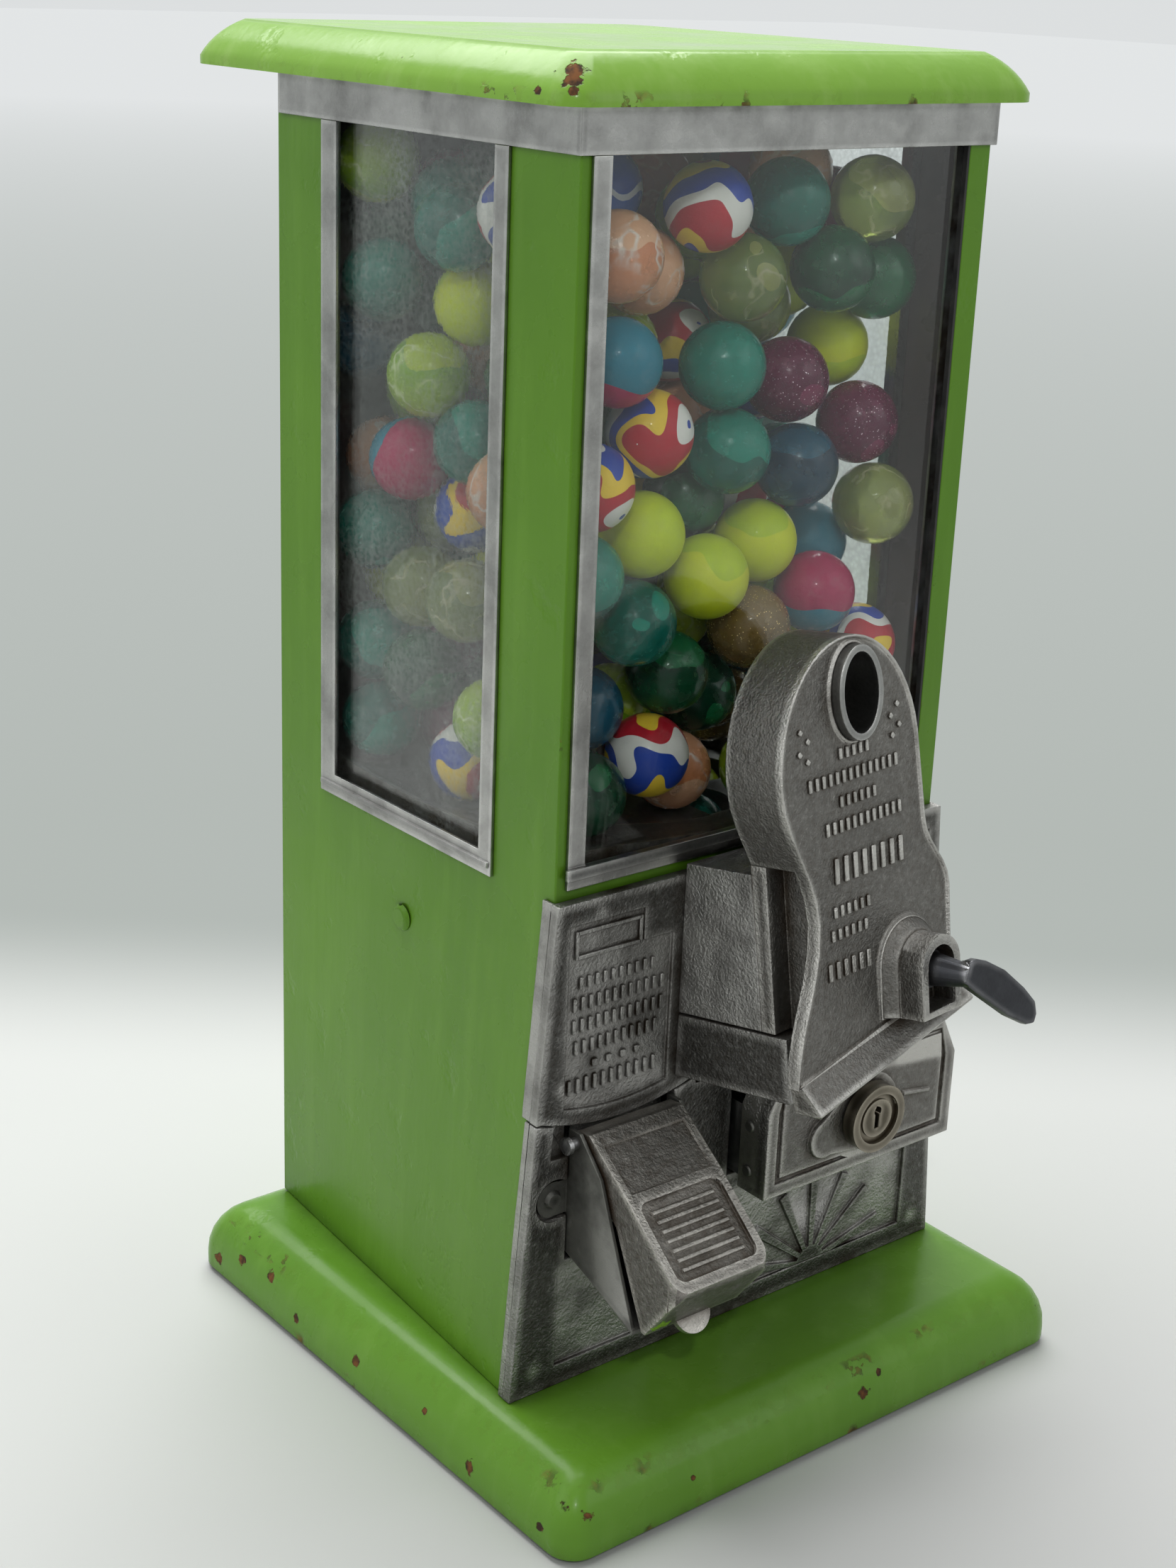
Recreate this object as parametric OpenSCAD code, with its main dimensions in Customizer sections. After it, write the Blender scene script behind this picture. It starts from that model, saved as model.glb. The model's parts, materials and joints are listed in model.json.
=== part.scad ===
// Countertop ball vending machine with a coin mechanism, a ball chute and a cash drawer.
// Millimetres, +Z up, front towards -Y. The origin is on the floor under the middle of the cabinet.

/* [Base] */
// Width of the base casting
base_w = 203; // [180:1:230]
// How far the base reaches forward of the middle
base_front = 121; // [112:1:140]
// How far the base reaches behind the middle
base_rear = 82; // [78:1:100]
// Height of the base casting without its pad
base_h = 22; // [18:1:30]
// Plan radius of the base corners
base_corner = 9; // [7:1:14]
// Inset of the rounded upper edge of the base
base_inset = 15; // [8:1:18]
// Wall of the base casting
base_wall = 7; // [6:0.5:9]
// Thickness of the rubber pad under the base
pad_h = 2; // [1.5:0.5:4]

/* [Cabinet] */
// Width of the cabinet above the front plates
cab_w = 148.6; // [140:0.2:160]
// Depth of the cabinet
cab_d = 141.8; // [136:0.2:150]
// Height of the cabinet over the base
cab_h = 365; // [345:1:400]
// Sheet thickness of the cabinet
cab_wall = 2; // [1.5:0.1:3]
// How much wider each side gets at the front of the bottom edge
cab_flare = 12; // [4:1:14]
// Height over the base at which the flare ends
flare_h = 152; // [140:1:160]
// Thickness of the bright trim strips
trim_t = 1.2; // [0.8:0.1:2]
// Height of the trim band under the lid
band_h = 12; // [8:1:18]

/* [Windows] */
// Height of the side window sill over the end of the flare
side_sill_over = 7; // [4:0.5:16]
// Front edge of the side windows measured from the middle
side_win_front = 40; // [34:1:44]
// Rear edge of the side windows measured from the middle
side_win_rear = 43.5; // [38:0.5:48]
// Height of the front window sill over the upper plate
front_sill_over = 9.7; // [7:0.1:16]
// Width of the sheet post on each side of the front window
front_post = 9.3; // [8:0.1:18]
// Width of the side strips of the window trim
strip_w = 6; // [4:0.5:9]
// Height of the sill strips
sill_w = 6.6; // [5:0.2:9]
// Thickness of the glass
glass_t = 2.4; // [2:0.1:3]
// Clearance on each side of a glass pane
glass_gap = 0.3; // [0.1:0.05:0.5]

/* [Lid] */
// Overhang of the lid at the sides
lid_side = 10.8; // [6:0.2:13]
// Overhang of the lid at the front
lid_front = 8; // [5:0.2:12]
// Overhang of the lid at the rear
lid_rear = 32; // [26:1:34]
// Thickness of the lid
lid_h = 13; // [11:0.5:18]
// Inset of the rounded upper edge of the lid
lid_inset = 11; // [7:0.5:12]
// Plan radius of the lid corners
lid_corner = 9; // [7:0.5:14]
// Wall of the lid
lid_wall = 5; // [4:0.5:7]
// Radius of the lid hinge pin
hinge_pin_r = 1.5; // [1.2:0.1:2]
// Radius of the hinge knuckles
knuckle_r = 3.2; // [2.8:0.1:3.6]

/* [Front plates] */
// Height of the upper edge of the upper plate over the base
upper_top_h = 154; // [150:1:157]
// Height of the line between the two plates over the base
plate_split_h = 86; // [82:1:90]
// Thickness of the plate castings
plate_t = 3.5; // [2.5:0.1:5]
// Depth of the panels sunk in the plates
panel_sink = 1.2; // [0.6:0.1:1.8]
// Number of rays in the sunburst
ray_n = 7; // [5:1:9]
// Reach of the plate flanges along the sides
flange_reach = 4.2; // [3:0.2:10]

/* [Coin mechanism] */
// Sideways place of the mechanism on the front
mech_x = -5.6; // [-9:0.2:-2]
// Height of the mechanism's own centre over the base
mech_h = 133; // [130:0.5:136]
// Turn of the mechanism to the right about the vertical
mech_turn = 7; // [0:0.5:9]
// Backward lean of the mechanism's face
mech_lean = 9; // [6:0.5:11]
// Half width of the mechanism housing on its left
housing_left = 24.5; // [23:0.5:27]
// Half width of the mechanism housing on its right
housing_right = 37; // [35.5:0.5:39]
// Depth of the housing box
housing_d = 29; // [26:0.5:32]
// Top of the housing box over the mechanism's centre
housing_top = 24; // [22:0.5:26]
// Bottom of the housing box under the mechanism's centre
housing_drop = 22; // [21:0.5:24]
// Wall of the housing box
housing_wall = 1.6; // [1.2:0.1:2.4]
// Depth of the head casting from its back to its face
head_d = 20; // [18:0.5:23]
// Half width of the round head
head_half = 30.4; // [28:0.1:32]
// Rise of the round top over its widest line
head_rise = 37; // [34:0.5:40]
// Height of the widest line of the head over the centre
head_mid = 52; // [50:0.5:55]
// Height of the coin hole over the centre
coin_up = 73; // [71:0.5:75]
// Height of the coin hole
coin_hole_h = 22.6; // [22:0.1:24]
// Width of the coin hole
coin_hole_w = 15; // [13:0.1:16]
// Sideways place of the coin hole from the mechanism's centre
coin_x = -0.8; // [-2:0.1:1]
// Wall of the coin ring
coin_ring_wall = 2.1; // [1.8:0.1:3.4]
// How far the coin ring stands out of the face
coin_ring_out = 3; // [1.5:0.5:5]

/* [Handle] */
// Radius of the handle shaft
shaft_r = 4; // [3.5:0.1:4.5]
// Radial clearance of running fits
run_gap = 0.06; // [0.03:0.01:0.09]
// Sideways place of the shaft from the mechanism's centre
shaft_x = 17.5; // [16.5:0.5:18.5]
// Drop of the shaft under the mechanism's centre
shaft_drop = 10; // [9:0.5:10.5]
// How far the handle boss stands out of the face
boss_out = 12; // [9:0.5:15]
// Slope of the lip bar under the head, up to the right
lip_angle = 11; // [0:0.5:14]
// Height of the lip bar
lip_h = 8.6; // [6:0.2:10]
// Length of the thumb blade from the shaft to its tip
blade_len = 31.5; // [26:0.5:38]
// Thickness of the thumb blade
blade_t = 3.4; // [2.6:0.2:5]
// Angle of the thumb blade below the horizontal at rest
blade_angle = 41; // [20:1:60]
// Radius of the coin wheel
coin_wheel_r = 15; // [13:0.5:15.5]

/* [Hopper and vend wheel] */
// Diameter of the balls
ball_d = 24.5; // [23:0.5:25]
// Number of pockets in the vend wheel
pocket_n = 6; // [5:1:6]
// Radius of a pocket
pocket_r = 13.3; // [13:0.1:13.5]
// Radius of the circle on which the pockets lie
pocket_pitch = 31.5; // [31:0.5:32]
// Thickness of the vend wheel
wheel_t = 22; // [20:0.5:23]
// Radius of the ring of drive pegs
peg_ring = 49.5; // [49:0.5:50]
// Number of drive pegs
peg_n = 60; // [60:10:60]
// Radius of a drive peg
peg_r = 1; // [0.8:0.05:1.1]
// Number of teeth on the pinion
pinion_n = 10; // [10:10:10]
// Reach of the pinion teeth past the pitch circle
tooth_out = 1.55; // [1.2:0.05:1.7]
// Thickness of a pinion tooth
tooth_t = 1.6; // [1.2:0.1:1.7]
// Depth of the pinion inside the cabinet front
pinion_in = 26; // [25:0.5:27]
// Radius of the wheel spindle
spindle_r = 5; // [4:0.5:6]
// Height of the ball load over the hopper rim
load_h = 188; // [120:2:192]

/* [Chute] */
// Left side of the chute measured from the middle
chute_left = 67; // [66:0.5:68]
// Width between the chute's side plates
chute_w = 36; // [34:0.5:37]
// Thickness of the chute sheet
chute_t = 1.2; // [1:0.1:1.6]
// Height of the flap hinge over the base
flap_hinge_h = 81; // [79:0.5:82]
// Reach of the flap in front of its hinge
flap_reach = 45; // [38:0.5:46]
// Drop of the flap's front edge under its hinge
flap_drop = 29; // [25:0.5:31]
// Thickness of the flap casting
flap_t = 3; // [2.4:0.1:4]
// Radius of the flap hinge pin
flap_pin_r = 1.8; // [1.5:0.1:2.2]

/* [Cash drawer] */
// Left edge of the cash door from the middle
door_left = 7; // [6:0.5:9]
// Right edge of the cash door from the middle
door_right = 73; // [68:0.5:74]
// Height of the door's lower edge over the base
door_low = 49; // [47:0.5:52]
// Height of the door
door_h = 42.5; // [39:0.5:43]
// Height of the lock over the door's lower edge
lock_up = 19; // [17:0.5:21]
// Thickness of the door casting
door_t = 4; // [3:0.2:6]
// How far the door stands in front of the plates
door_out = 13.6; // [12:0.2:16]
// Depth of the cash box behind the door
box_d = 96; // [60:2:110]
// Sheet thickness of the cash box
box_t = 1.2; // [0.8:0.1:2]
// Radius of the lock barrel
lock_r = 9; // [8:0.5:10]
// Radius of the lock plug
plug_r = 6.2; // [5.5:0.1:7]

/* [Hidden] */
$fn = 48;
tiny = 0.01;

green = [0.36, 0.62, 0.16];
bright = [0.74, 0.74, 0.73];
cast = [0.55, 0.54, 0.52];
steel = [0.2, 0.21, 0.23];
brass = [0.55, 0.5, 0.36];
rubber = [0.1, 0.1, 0.1];

base_top = pad_h + base_h;
cab_top = base_top + cab_h;
cab_x = cab_w / 2;
cab_y = cab_d / 2;
flare_top = base_top + flare_h;
band_z = cab_top - band_h;
plate_y = -cab_y - plate_t;
split_z = base_top + plate_split_h;
plate_top = base_top + upper_top_h;
front_win_half = cab_x - front_post;
side_sill_z = flare_top + side_sill_over;
mech_rise = 21;
front_sill_z = max(plate_top, base_top + mech_h + mech_rise) + front_sill_over;
win_top = cab_top - 8;
lid_top = cab_top + lid_h;

mech_z = base_top + mech_h;
head_back = housing_d;
face_d = head_back + head_d;
shaft_start = [mech_x, -cab_y, mech_z];
mech_right = [cos(mech_turn), sin(mech_turn), 0];
mech_out = [sin(mech_turn) * cos(mech_lean), -cos(mech_turn) * cos(mech_lean), sin(mech_lean)];
mech_up = [-sin(mech_turn) * sin(mech_lean), cos(mech_turn) * sin(mech_lean), cos(mech_lean)];
shaft_foot = shaft_start + shaft_x * mech_right - shaft_drop * mech_up;
pinion_pos = shaft_foot - pinion_in * mech_out;
pinion_pitch = peg_ring * pinion_n / peg_n;
pinion_tip = pinion_pitch + tooth_out;
wheel_dir = 270 + mech_turn;
wheel_x = pinion_pos[0] - peg_ring * cos(wheel_dir);
wheel_y = pinion_pos[1] - peg_ring * sin(wheel_dir);
peg_low = pinion_pos[2] + pinion_pitch - 1.4;
wheel_low = pinion_pos[2] + pinion_tip + 2.1;
wheel_top = wheel_low + wheel_t;
wheel_r = peg_ring + 2;
well_r = wheel_r + 0.6;
rim_z = wheel_top + 5;
floor_z = wheel_low - 0.5;
drop_dir = 230;
drop_x = wheel_x + pocket_pitch * cos(drop_dir);
drop_y = wheel_y + pocket_pitch * sin(drop_dir);
hinge_y = -cab_y - plate_t - 2.6;
flap_z = base_top + flap_hinge_h;
chute_right = -chute_left + chute_w;
door_y = plate_y - door_out - door_t;
door_low_z = base_top + door_low;
door_top_z = door_low_z + door_h;
door_mid = (door_right - door_left) / 2;
lock_z = door_low_z + lock_up;
lid_hinge_y = cab_y + 4.2;
lid_hinge_z = cab_top - 3.8;
ball_r = ball_d / 2;
ball_gap = 0.25;

// Half width of the flared cabinet at height z and depth y
function side_x(y, z) = cab_x + cab_flare * max(0, (flare_top - z) / flare_h) * (cab_y - y) / cab_d;

// Points of one level of the cabinet, all round, drawn in by t
function level(z, t) = [
  [-side_x(cab_y, z) + t, cab_y - t, z], [-side_x(-cab_y, z) + t, -cab_y + t, z],
  [side_x(-cab_y, z) - t, -cab_y + t, z], [side_x(cab_y, z) - t, cab_y - t, z]
];

module in_mech() {
  translate(shaft_start) rotate([0, 0, mech_turn]) rotate([-mech_lean, 0, 0]) children();
}

// Turns a drawing in width and height into a solid that starts at depth d0 and comes forward
module forward(d0, d1) {
  translate([0, -d0, 0]) rotate([90, 0, 0]) linear_extrude(d1 - d0) children();
}

module on_shaft(d0, d1, r) {
  in_mech() translate([shaft_x, -d0, -shaft_drop]) rotate([90, 0, 0]) cylinder(h = d1 - d0, r = r);
}

// Slab with rounded corners and a rounded upper edge, which gets flatter as bulge goes from 1 to 0
module slab(x, y0, y1, h, r, inset, rise, bulge = 1) {
  steps = 7;
  levels = concat([[0, 0]], [
    for (i = [0 : steps]) let (a = 90 * i / steps, flat = (1 - bulge) * i / steps)
      [inset * (bulge * (1 - cos(a)) + flat), h - rise + rise * (bulge * sin(a) + flat)]
  ]);
  hull() {
    for (l = levels) {
      c = max(r - l[0] * 0.45, 1.5);
      for (sx = [-1, 1], y = [y0 + l[0] + c, y1 - l[0] - c]) {
        translate([sx * (x - l[0] - c), y, l[1] > tiny ? l[1] - tiny : 0]) cylinder(h = tiny, r = c, $fn = 32);
      }
    }
  }
}

module rounded_block(x0, x1, y0, y1, z0, z1, r) {
  translate([x0 + r, y0, z0]) cube([x1 - x0 - 2 * r, y1 - y0, z1 - z0]);
  translate([x0, y0 + r, z0]) cube([x1 - x0, y1 - y0 - 2 * r, z1 - z0]);
  for (x = [x0 + r, x1 - r], y = [y0 + r, y1 - r]) {
    translate([x, y, z0]) cylinder(h = z1 - z0, r = r);
  }
}

module block(x0, x1, y0, y1, z0, z1) {
  translate([x0, y0, z0]) cube([x1 - x0, y1 - y0, z1 - z0]);
}

// Solid between levels of the cabinet, drawn in by t
module shell(levels, t) {
  n = len(levels);
  points = [for (z = levels) each level(z, t)];
  walls = [for (i = [0 : n - 2], k = [0 : 3]) each [
    [4 * i + k, 4 * i + (k + 1) % 4, 4 * i + 4 + (k + 1) % 4],
    [4 * i + k, 4 * i + 4 + (k + 1) % 4, 4 * i + 4 + k]
  ]];
  caps = [[3, 2, 1, 0], [for (k = [0 : 3]) 4 * (n - 1) + k]];
  polyhedron(points, [for (f = concat(caps, walls)) [for (k = [len(f) - 1 : -1 : 0]) f[k]]]);
}

module base() {
  color(green) difference() {
    translate([0, 0, pad_h]) slab(base_w / 2, -base_front, base_rear, base_h, base_corner, base_inset, base_h - 4);
    rounded_block(
      -base_w / 2 + base_wall, base_w / 2 - base_wall, -base_front + base_wall, base_rear - base_wall,
      pad_h - 1, base_top - 6, base_corner
    );
    case_screw_places() translate([0, 0, -12]) cylinder(h = 20, r = 2.1);
  }
}

// Pad under the whole base, drawn in a little from its edge
module base_pad() {
  in = 4;
  color(rubber)
    rounded_block(-base_w / 2 + in, base_w / 2 - in, -base_front + in, base_rear - in, 0, pad_h, base_corner - 2);
}

module case_screw_places() {
  for (sx = [-1, 1], sy = [-1, 1]) {
    translate([sx * (cab_x - 8), sy * (cab_y - 8), base_top]) children();
  }
}

module case_screws() {
  color(steel) case_screw_places() {
    translate([0, 0, cab_wall]) cylinder(h = 2.6, r = 4);
    translate([0, 0, -9.8]) cylinder(h = 10 + cab_wall, r = 2);
  }
}

flare_steps = 5;

// Levels from the foot to the top of the cabinet
function case_levels() = concat([for (i = [0 : flare_steps]) base_top + flare_h * i / flare_steps], [cab_top]);

module cabinet() {
  steps = flare_steps;
  inner = concat(
    [base_top + cab_wall], [for (i = [1 : steps]) base_top + flare_h * i / steps], [cab_top + 1]
  );
  color(green) difference() {
    shell(case_levels(), 0);
    shell(inner, cab_wall);
    block(-cab_x - 5, cab_x + 5, -side_win_front, side_win_rear, side_sill_z - 3, win_top);
    block(-front_win_half - 1, front_win_half + 1, -cab_y - 1, -cab_y + 9, front_sill_z - 3, win_top);
    block(-chute_left - 1.5, door_right + 1, -cab_y - 1, -cab_y + 9, door_low_z - 8, split_z + 0.6);
    block(mech_x - 20, mech_x + 42, -cab_y - 1, -cab_y + 9, split_z, mech_z + 12);
    case_screw_places() translate([0, 0, -1]) cylinder(h = 6, r = 2.1);
    side_rivet_places() cylinder(h = 12, r = 2.05, center = true);
    plate_screw_places() cylinder(h = 9, r = 1.6, center = true);
  }
}

module side_rivet_places() {
  for (sx = [-1, 1]) {
    translate([sx * side_x(0.7, side_rivet_z), 0.7, side_rivet_z]) rotate([0, 90 * sx, 0]) children();
  }
}

side_rivet_z = flare_top - 27;

module side_rivets() {
  color(green) side_rivet_places() {
    translate([0, 0, 0.35]) cylinder(h = 1.3, r1 = 4.2, r2 = 2.8);
    translate([0, 0, -cab_wall - 4.4]) cylinder(h = cab_wall + 4.8, r = 2);
  }
}

module trim_band() {
  color(bright) difference() {
    block(-cab_x - trim_t, cab_x + trim_t, -cab_y - trim_t, cab_y - 2, band_z, cab_top - 0.2);
    block(-cab_x, cab_x, -cab_y, cab_y, band_z - 1, cab_top + 1);
  }
}

module lid() {
  inner_x = cab_x - cab_wall - glass_t - 1.6;
  inner_y = cab_y - cab_wall - glass_t - 1.6;
  color(green) {
    difference() {
      translate([0, 0, cab_top])
        slab(cab_x + lid_side, -cab_y - lid_front, cab_y + lid_rear, lid_h, lid_corner, lid_inset, lid_h - 2.4, 0.42);
      block(-inner_x + 3, inner_x - 3, -inner_y + 3, inner_y - 3, cab_top - 1, lid_top - lid_wall);
    }
    difference() {
      block(-inner_x, inner_x, -inner_y, inner_y, cab_top - 5, cab_top + 0.5);
      block(-inner_x + 3, inner_x - 3, -inner_y + 3, inner_y - 3, cab_top - 6, cab_top + 1);
    }
  }
}

knuckle_n = 5;
knuckle_l = 12;

// Knuckles of the lid hinge, every second one from a start
module knuckles(first) {
  for (i = [first : 2 : knuckle_n - 1]) {
    translate([(i - knuckle_n / 2) * knuckle_l + 0.15, lid_hinge_y, lid_hinge_z]) rotate([0, 90, 0])
      cylinder(h = knuckle_l - 0.3, r = knuckle_r);
  }
}

module case_leaf() {
  half = knuckle_n * knuckle_l / 2;
  color(steel) difference() {
    union() {
      knuckles(0);
      block(-half, half, cab_y, cab_y + 1, lid_hinge_z - 20, lid_hinge_z - 4);
      for (i = [0 : 2 : knuckle_n - 1]) {
        translate([(i - knuckle_n / 2) * knuckle_l + 0.15, cab_y, lid_hinge_z - 5]) cube([knuckle_l - 0.3, 1.4, 5]);
      }
    }
    translate([-half - 1, lid_hinge_y, lid_hinge_z]) rotate([0, 90, 0])
      cylinder(h = 2 * half + 2, r = hinge_pin_r);
  }
}

module lid_leaf() {
  half = knuckle_n * knuckle_l / 2;
  color(steel) difference() {
    union() {
      knuckles(1);
      block(-half, half, lid_hinge_y + 3.6, lid_hinge_y + 20, cab_top - 1, cab_top);
      for (i = [1 : 2 : knuckle_n - 1]) {
        translate([(i - knuckle_n / 2) * knuckle_l + 0.15, lid_hinge_y, cab_top - 1.2]) cube([knuckle_l - 0.3, 6, 1.2]);
      }
    }
    translate([-half - 1, lid_hinge_y, lid_hinge_z]) rotate([0, 90, 0])
      cylinder(h = 2 * half + 2, r = hinge_pin_r + run_gap);
  }
}

module hinge_pin() {
  half = knuckle_n * knuckle_l / 2;
  color(steel) translate([-half, lid_hinge_y, lid_hinge_z]) rotate([0, 90, 0])
    cylinder(h = 2 * half, r = hinge_pin_r);
}

// Window trim on a side: two strips and a sill, drawn for the left side
module side_trim() {
  x = cab_x;
  y0 = -side_win_front - 2.5;
  y1 = side_win_rear + 2.5;
  color(bright) {
    difference() {
      block(-x - trim_t, -x, y0, y1, side_sill_z - sill_w, band_z);
      block(-x - 5, -x + 5, y0 + strip_w, y1 - strip_w - 1.8, side_sill_z, band_z + 1);
    }
    translate([-x - trim_t - 0.8, y0 + 1, side_sill_z - sill_w * 0.62]) cube([0.8, y1 - y0 - 2, 1.6]);
  }
}

module left_window_trim() {
  side_trim();
}

module right_window_trim() {
  mirror([1, 0, 0]) side_trim();
}

module front_window_trim() {
  left = front_win_half + strip_w;
  sill_low = front_sill_z - sill_w;
  color(bright) {
    difference() {
      block(-left, front_win_half + 1, -cab_y - trim_t, -cab_y, sill_low, band_z);
      block(-front_win_half, front_win_half + 2, -cab_y - 3, -cab_y + 3, front_sill_z, band_z + 1);
    }
    translate([-left - 1, -cab_y - trim_t - 1.6, front_sill_z - 3.4]) cube([left + front_win_half + 2, 1.6, 3.4]);
  }
}

// Pane behind the side window, drawn for the left side
module side_pane() {
  x = cab_x - cab_wall - glass_gap;
  color([0.75, 0.82, 0.8, 0.35])
    block(-x, -x + glass_t, -side_win_front - 4, side_win_rear + 4, side_sill_z - 6, cab_top - 2);
}

module left_glass() {
  side_pane();
}

module right_glass() {
  mirror([1, 0, 0]) side_pane();
}

module front_glass() {
  y = cab_y - cab_wall - glass_gap;
  half = front_win_half + 2.5;
  color([0.75, 0.82, 0.8, 0.35]) block(-half, half, -y, -y + glass_t, front_sill_z - 6, cab_top - 2);
}

// Channel along one upright edge of a pane, standing at the origin and open to +X
module pane_channel(h) {
  gap = glass_t + 2 * glass_gap;
  difference() {
    block(-1.2, 3, -gap / 2 + glass_gap + tiny, gap / 2 + 1, 0, h);
    block(0, 4, -gap / 2 - 1, gap / 2, -1, h + 1);
  }
}

module glass_clips() {
  x = cab_x - cab_wall - glass_gap - glass_t / 2;
  y = cab_y - cab_wall - glass_gap - glass_t / 2;
  low = rim_z + 7.3;
  h = cab_top - 8 - low;
  color(steel) {
    for (sx = [-1, 1]) {
      translate([sx * x, -side_win_front - 4.3, low]) rotate([0, 0, 90]) mirror([0, sx > 0 ? 0 : 1, 0])
        pane_channel(h);
      translate([sx * x, side_win_rear + 4.3, low]) rotate([0, 0, -90]) mirror([0, sx > 0 ? 1 : 0, 0])
        pane_channel(h);
      translate([sx * (front_win_half + 2.8), -y, low + 2]) mirror([sx > 0 ? 1 : 0, 0, 0])
        pane_channel(h - 2);
    }
  }
}

// Half width of a plate at height z
function plate_x(z) = side_x(-cab_y, z) + trim_t;

arch_mid = -chute_left + chute_w / 2 - 1;
arch_half = 29;

// Height of the line between the plates, which sags over the chute
function arch_z(x) = split_z + (x > arch_mid + arch_half ? 0 : 2.4 - 5 * max(0, 1 - pow((x - arch_mid) / arch_half, 2)));

// Points on the line between the plates from x0 to x1, raised by up
function arch_points(x0, x1, up, n) = [
  for (i = [0 : n]) let (x = x0 + (x1 - x0) * i / n) [x, arch_z(x) + up]
];

// The whole line between the plates, from left to right
function split_line(up) = concat(
  [[-plate_x(split_z), arch_z(-plate_x(split_z)) + up]],
  arch_points(arch_mid - arch_half, arch_mid + arch_half, up, 16),
  [[arch_mid + arch_half, split_z + up], [plate_x(split_z), split_z + up]]
);

// Flanges of a plate along both sides of the cabinet
module side_flanges(z0, z1, reach) {
  difference() {
    intersection() {
      shell(case_levels(), -trim_t);
      block(-150, 150, -cab_y, -cab_y + reach, z0, z1);
    }
    shell(case_levels(), 0);
  }
}

// Screws from inside the cabinet into the backs of the plates
module plate_screw_places() {
  for (p = [[-60, plate_top - 5], [64, plate_top - 5], [-72, split_z + 12], [72, split_z + 12], [-79, base_top + 8],
    [79, base_top + 8]]) {
    translate([p[0], -cab_y, p[1]]) rotate([90, 0, 0]) children();
  }
}

module upper_plate() {
  z0 = split_z;
  z1 = plate_top;
  color(cast) difference() {
    union() {
      translate([0, -cab_y, 0]) rotate([90, 0, 0]) linear_extrude(plate_t)
        polygon(concat(split_line(0), [[plate_x(z1), z1], [-plate_x(z1), z1]]));
      side_flanges(z0 + 2.4, z1, flange_reach);
    }
    translate([0, plate_y - 1, 0]) mirror([0, 1, 0]) rotate([90, 0, 0]) linear_extrude(1 + panel_sink) {
      polygon(concat(arch_points(-71, -33, 5, 10), [[-33, z1 - 17], [-44, z1 - 17], [-44, z1 - 7], [-71, z1 - 7]]));
      translate([44, z0 + 9]) square([27, z1 - z0 - 16]);
    }
    on_shaft(-20, 20, shaft_r + 5);
    translate([-10, plate_y - 1, z0 + 7]) cube([30, plate_t + 2, 12]);
    plate_screw_places() translate([0, 0, -1]) cylinder(h = plate_t - 0.9, r = 1.6);
  }
}

ray_x = door_mid;
ray_z = base_top + 9;
panel_r = door_right;
panel_l = 3;

module lower_plate() {
  z0 = base_top;
  z1 = split_z - 0.4;
  ray_len = 31;
  color(cast) {
    difference() {
      union() {
        translate([0, -cab_y, 0]) rotate([90, 0, 0]) linear_extrude(plate_t)
          polygon(concat([[plate_x(z0), z0], [-plate_x(z0), z0]], split_line(-0.4)));
        side_flanges(z0, z1 + 2.2, flange_reach * 0.62);
      }
      block(-panel_l, panel_r, plate_y - 1, plate_y + panel_sink, z0 + 7, door_low_z - 5);
      block(-chute_left - 4, -chute_left + chute_w, plate_y - 1, plate_y + panel_sink, z0 + 7, z0 + 40);
      block(-chute_left - chute_t - 0.4, chute_right + chute_t + 0.4, plate_y - 1, -cab_y + 1, z0 + 42, z1 + 1);
      block(-door_left + 1, door_right - 1, plate_y - 1, -cab_y + 1, door_low_z + 1, z1 + 1);
      translate([-chute_left - 6.2, plate_y - 1, flap_z - 18.3]) rotate([-90, 0, 0]) cylinder(h = 1 + 2.4, r = 6.8);
      block(-chute_left - 8, -chute_left, plate_y - 1, plate_y + 2.4, flap_z - 5, z1 + 1);
      block(-chute_left - 7.4, -chute_left, plate_y - 1, plate_y + 2.4, flap_z - 24.3, flap_z - 12.6);
      translate([-chute_left - 6.2, -cab_y + 1, flap_z - 18.3]) rotate([90, 0, 0]) cylinder(h = 8, r = 1.6);
      plate_screw_places() translate([0, 0, -1]) cylinder(h = plate_t - 0.9, r = 1.6);
    }
    intersection() {
      block(-panel_l, panel_r, plate_y, plate_y + panel_sink + 0.2, z0 + 7, door_low_z - 5);
      union() {
        translate([ray_x, plate_y + panel_sink + 0.1, z0 + 6]) rotate([90, 0, 0]) cylinder(h = panel_sink, r = 6);
        for (i = [0 : ray_n - 1]) {
          a = 12 + i * 156 / (ray_n - 1);
          translate([ray_x, plate_y + panel_sink + 0.1, ray_z - 3]) rotate([90, 0, 0]) linear_extrude(panel_sink)
            rotate([0, 0, a]) polygon([[4, -0.7], [ray_len, -1.7], [ray_len, 1.7], [4, 0.7]]);
        }
      }
    }
  }
}

module plate_screws() {
  color(steel) plate_screw_places() {
    translate([0, 0, -cab_wall - 2]) cylinder(h = 2, r = 3.2);
    translate([0, 0, -cab_wall - 1]) cylinder(h = cab_wall + plate_t - 1, r = 1.55);
  }
}

// Cuts away what lies behind the front face of the plates
module before_plates() {
  difference() {
    children();
    block(-150, 150, plate_y, 150, 0, 400);
  }
}

module mech_housing() {
  color(cast) before_plates() in_mech() difference() {
    forward(-12, head_back) housing_outline(0);
    forward(-14, head_back + 1) housing_outline(housing_wall);
  }
}

module housing_outline(t) {
  translate([-housing_left + t, -housing_drop + t])
    square([housing_left + housing_right - 2 * t, housing_top + housing_drop - 2 * t]);
}

ledge_h = 19.5;
ledge_d = 38;
ledge_low = -housing_drop - 0.6 - ledge_h;

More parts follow.
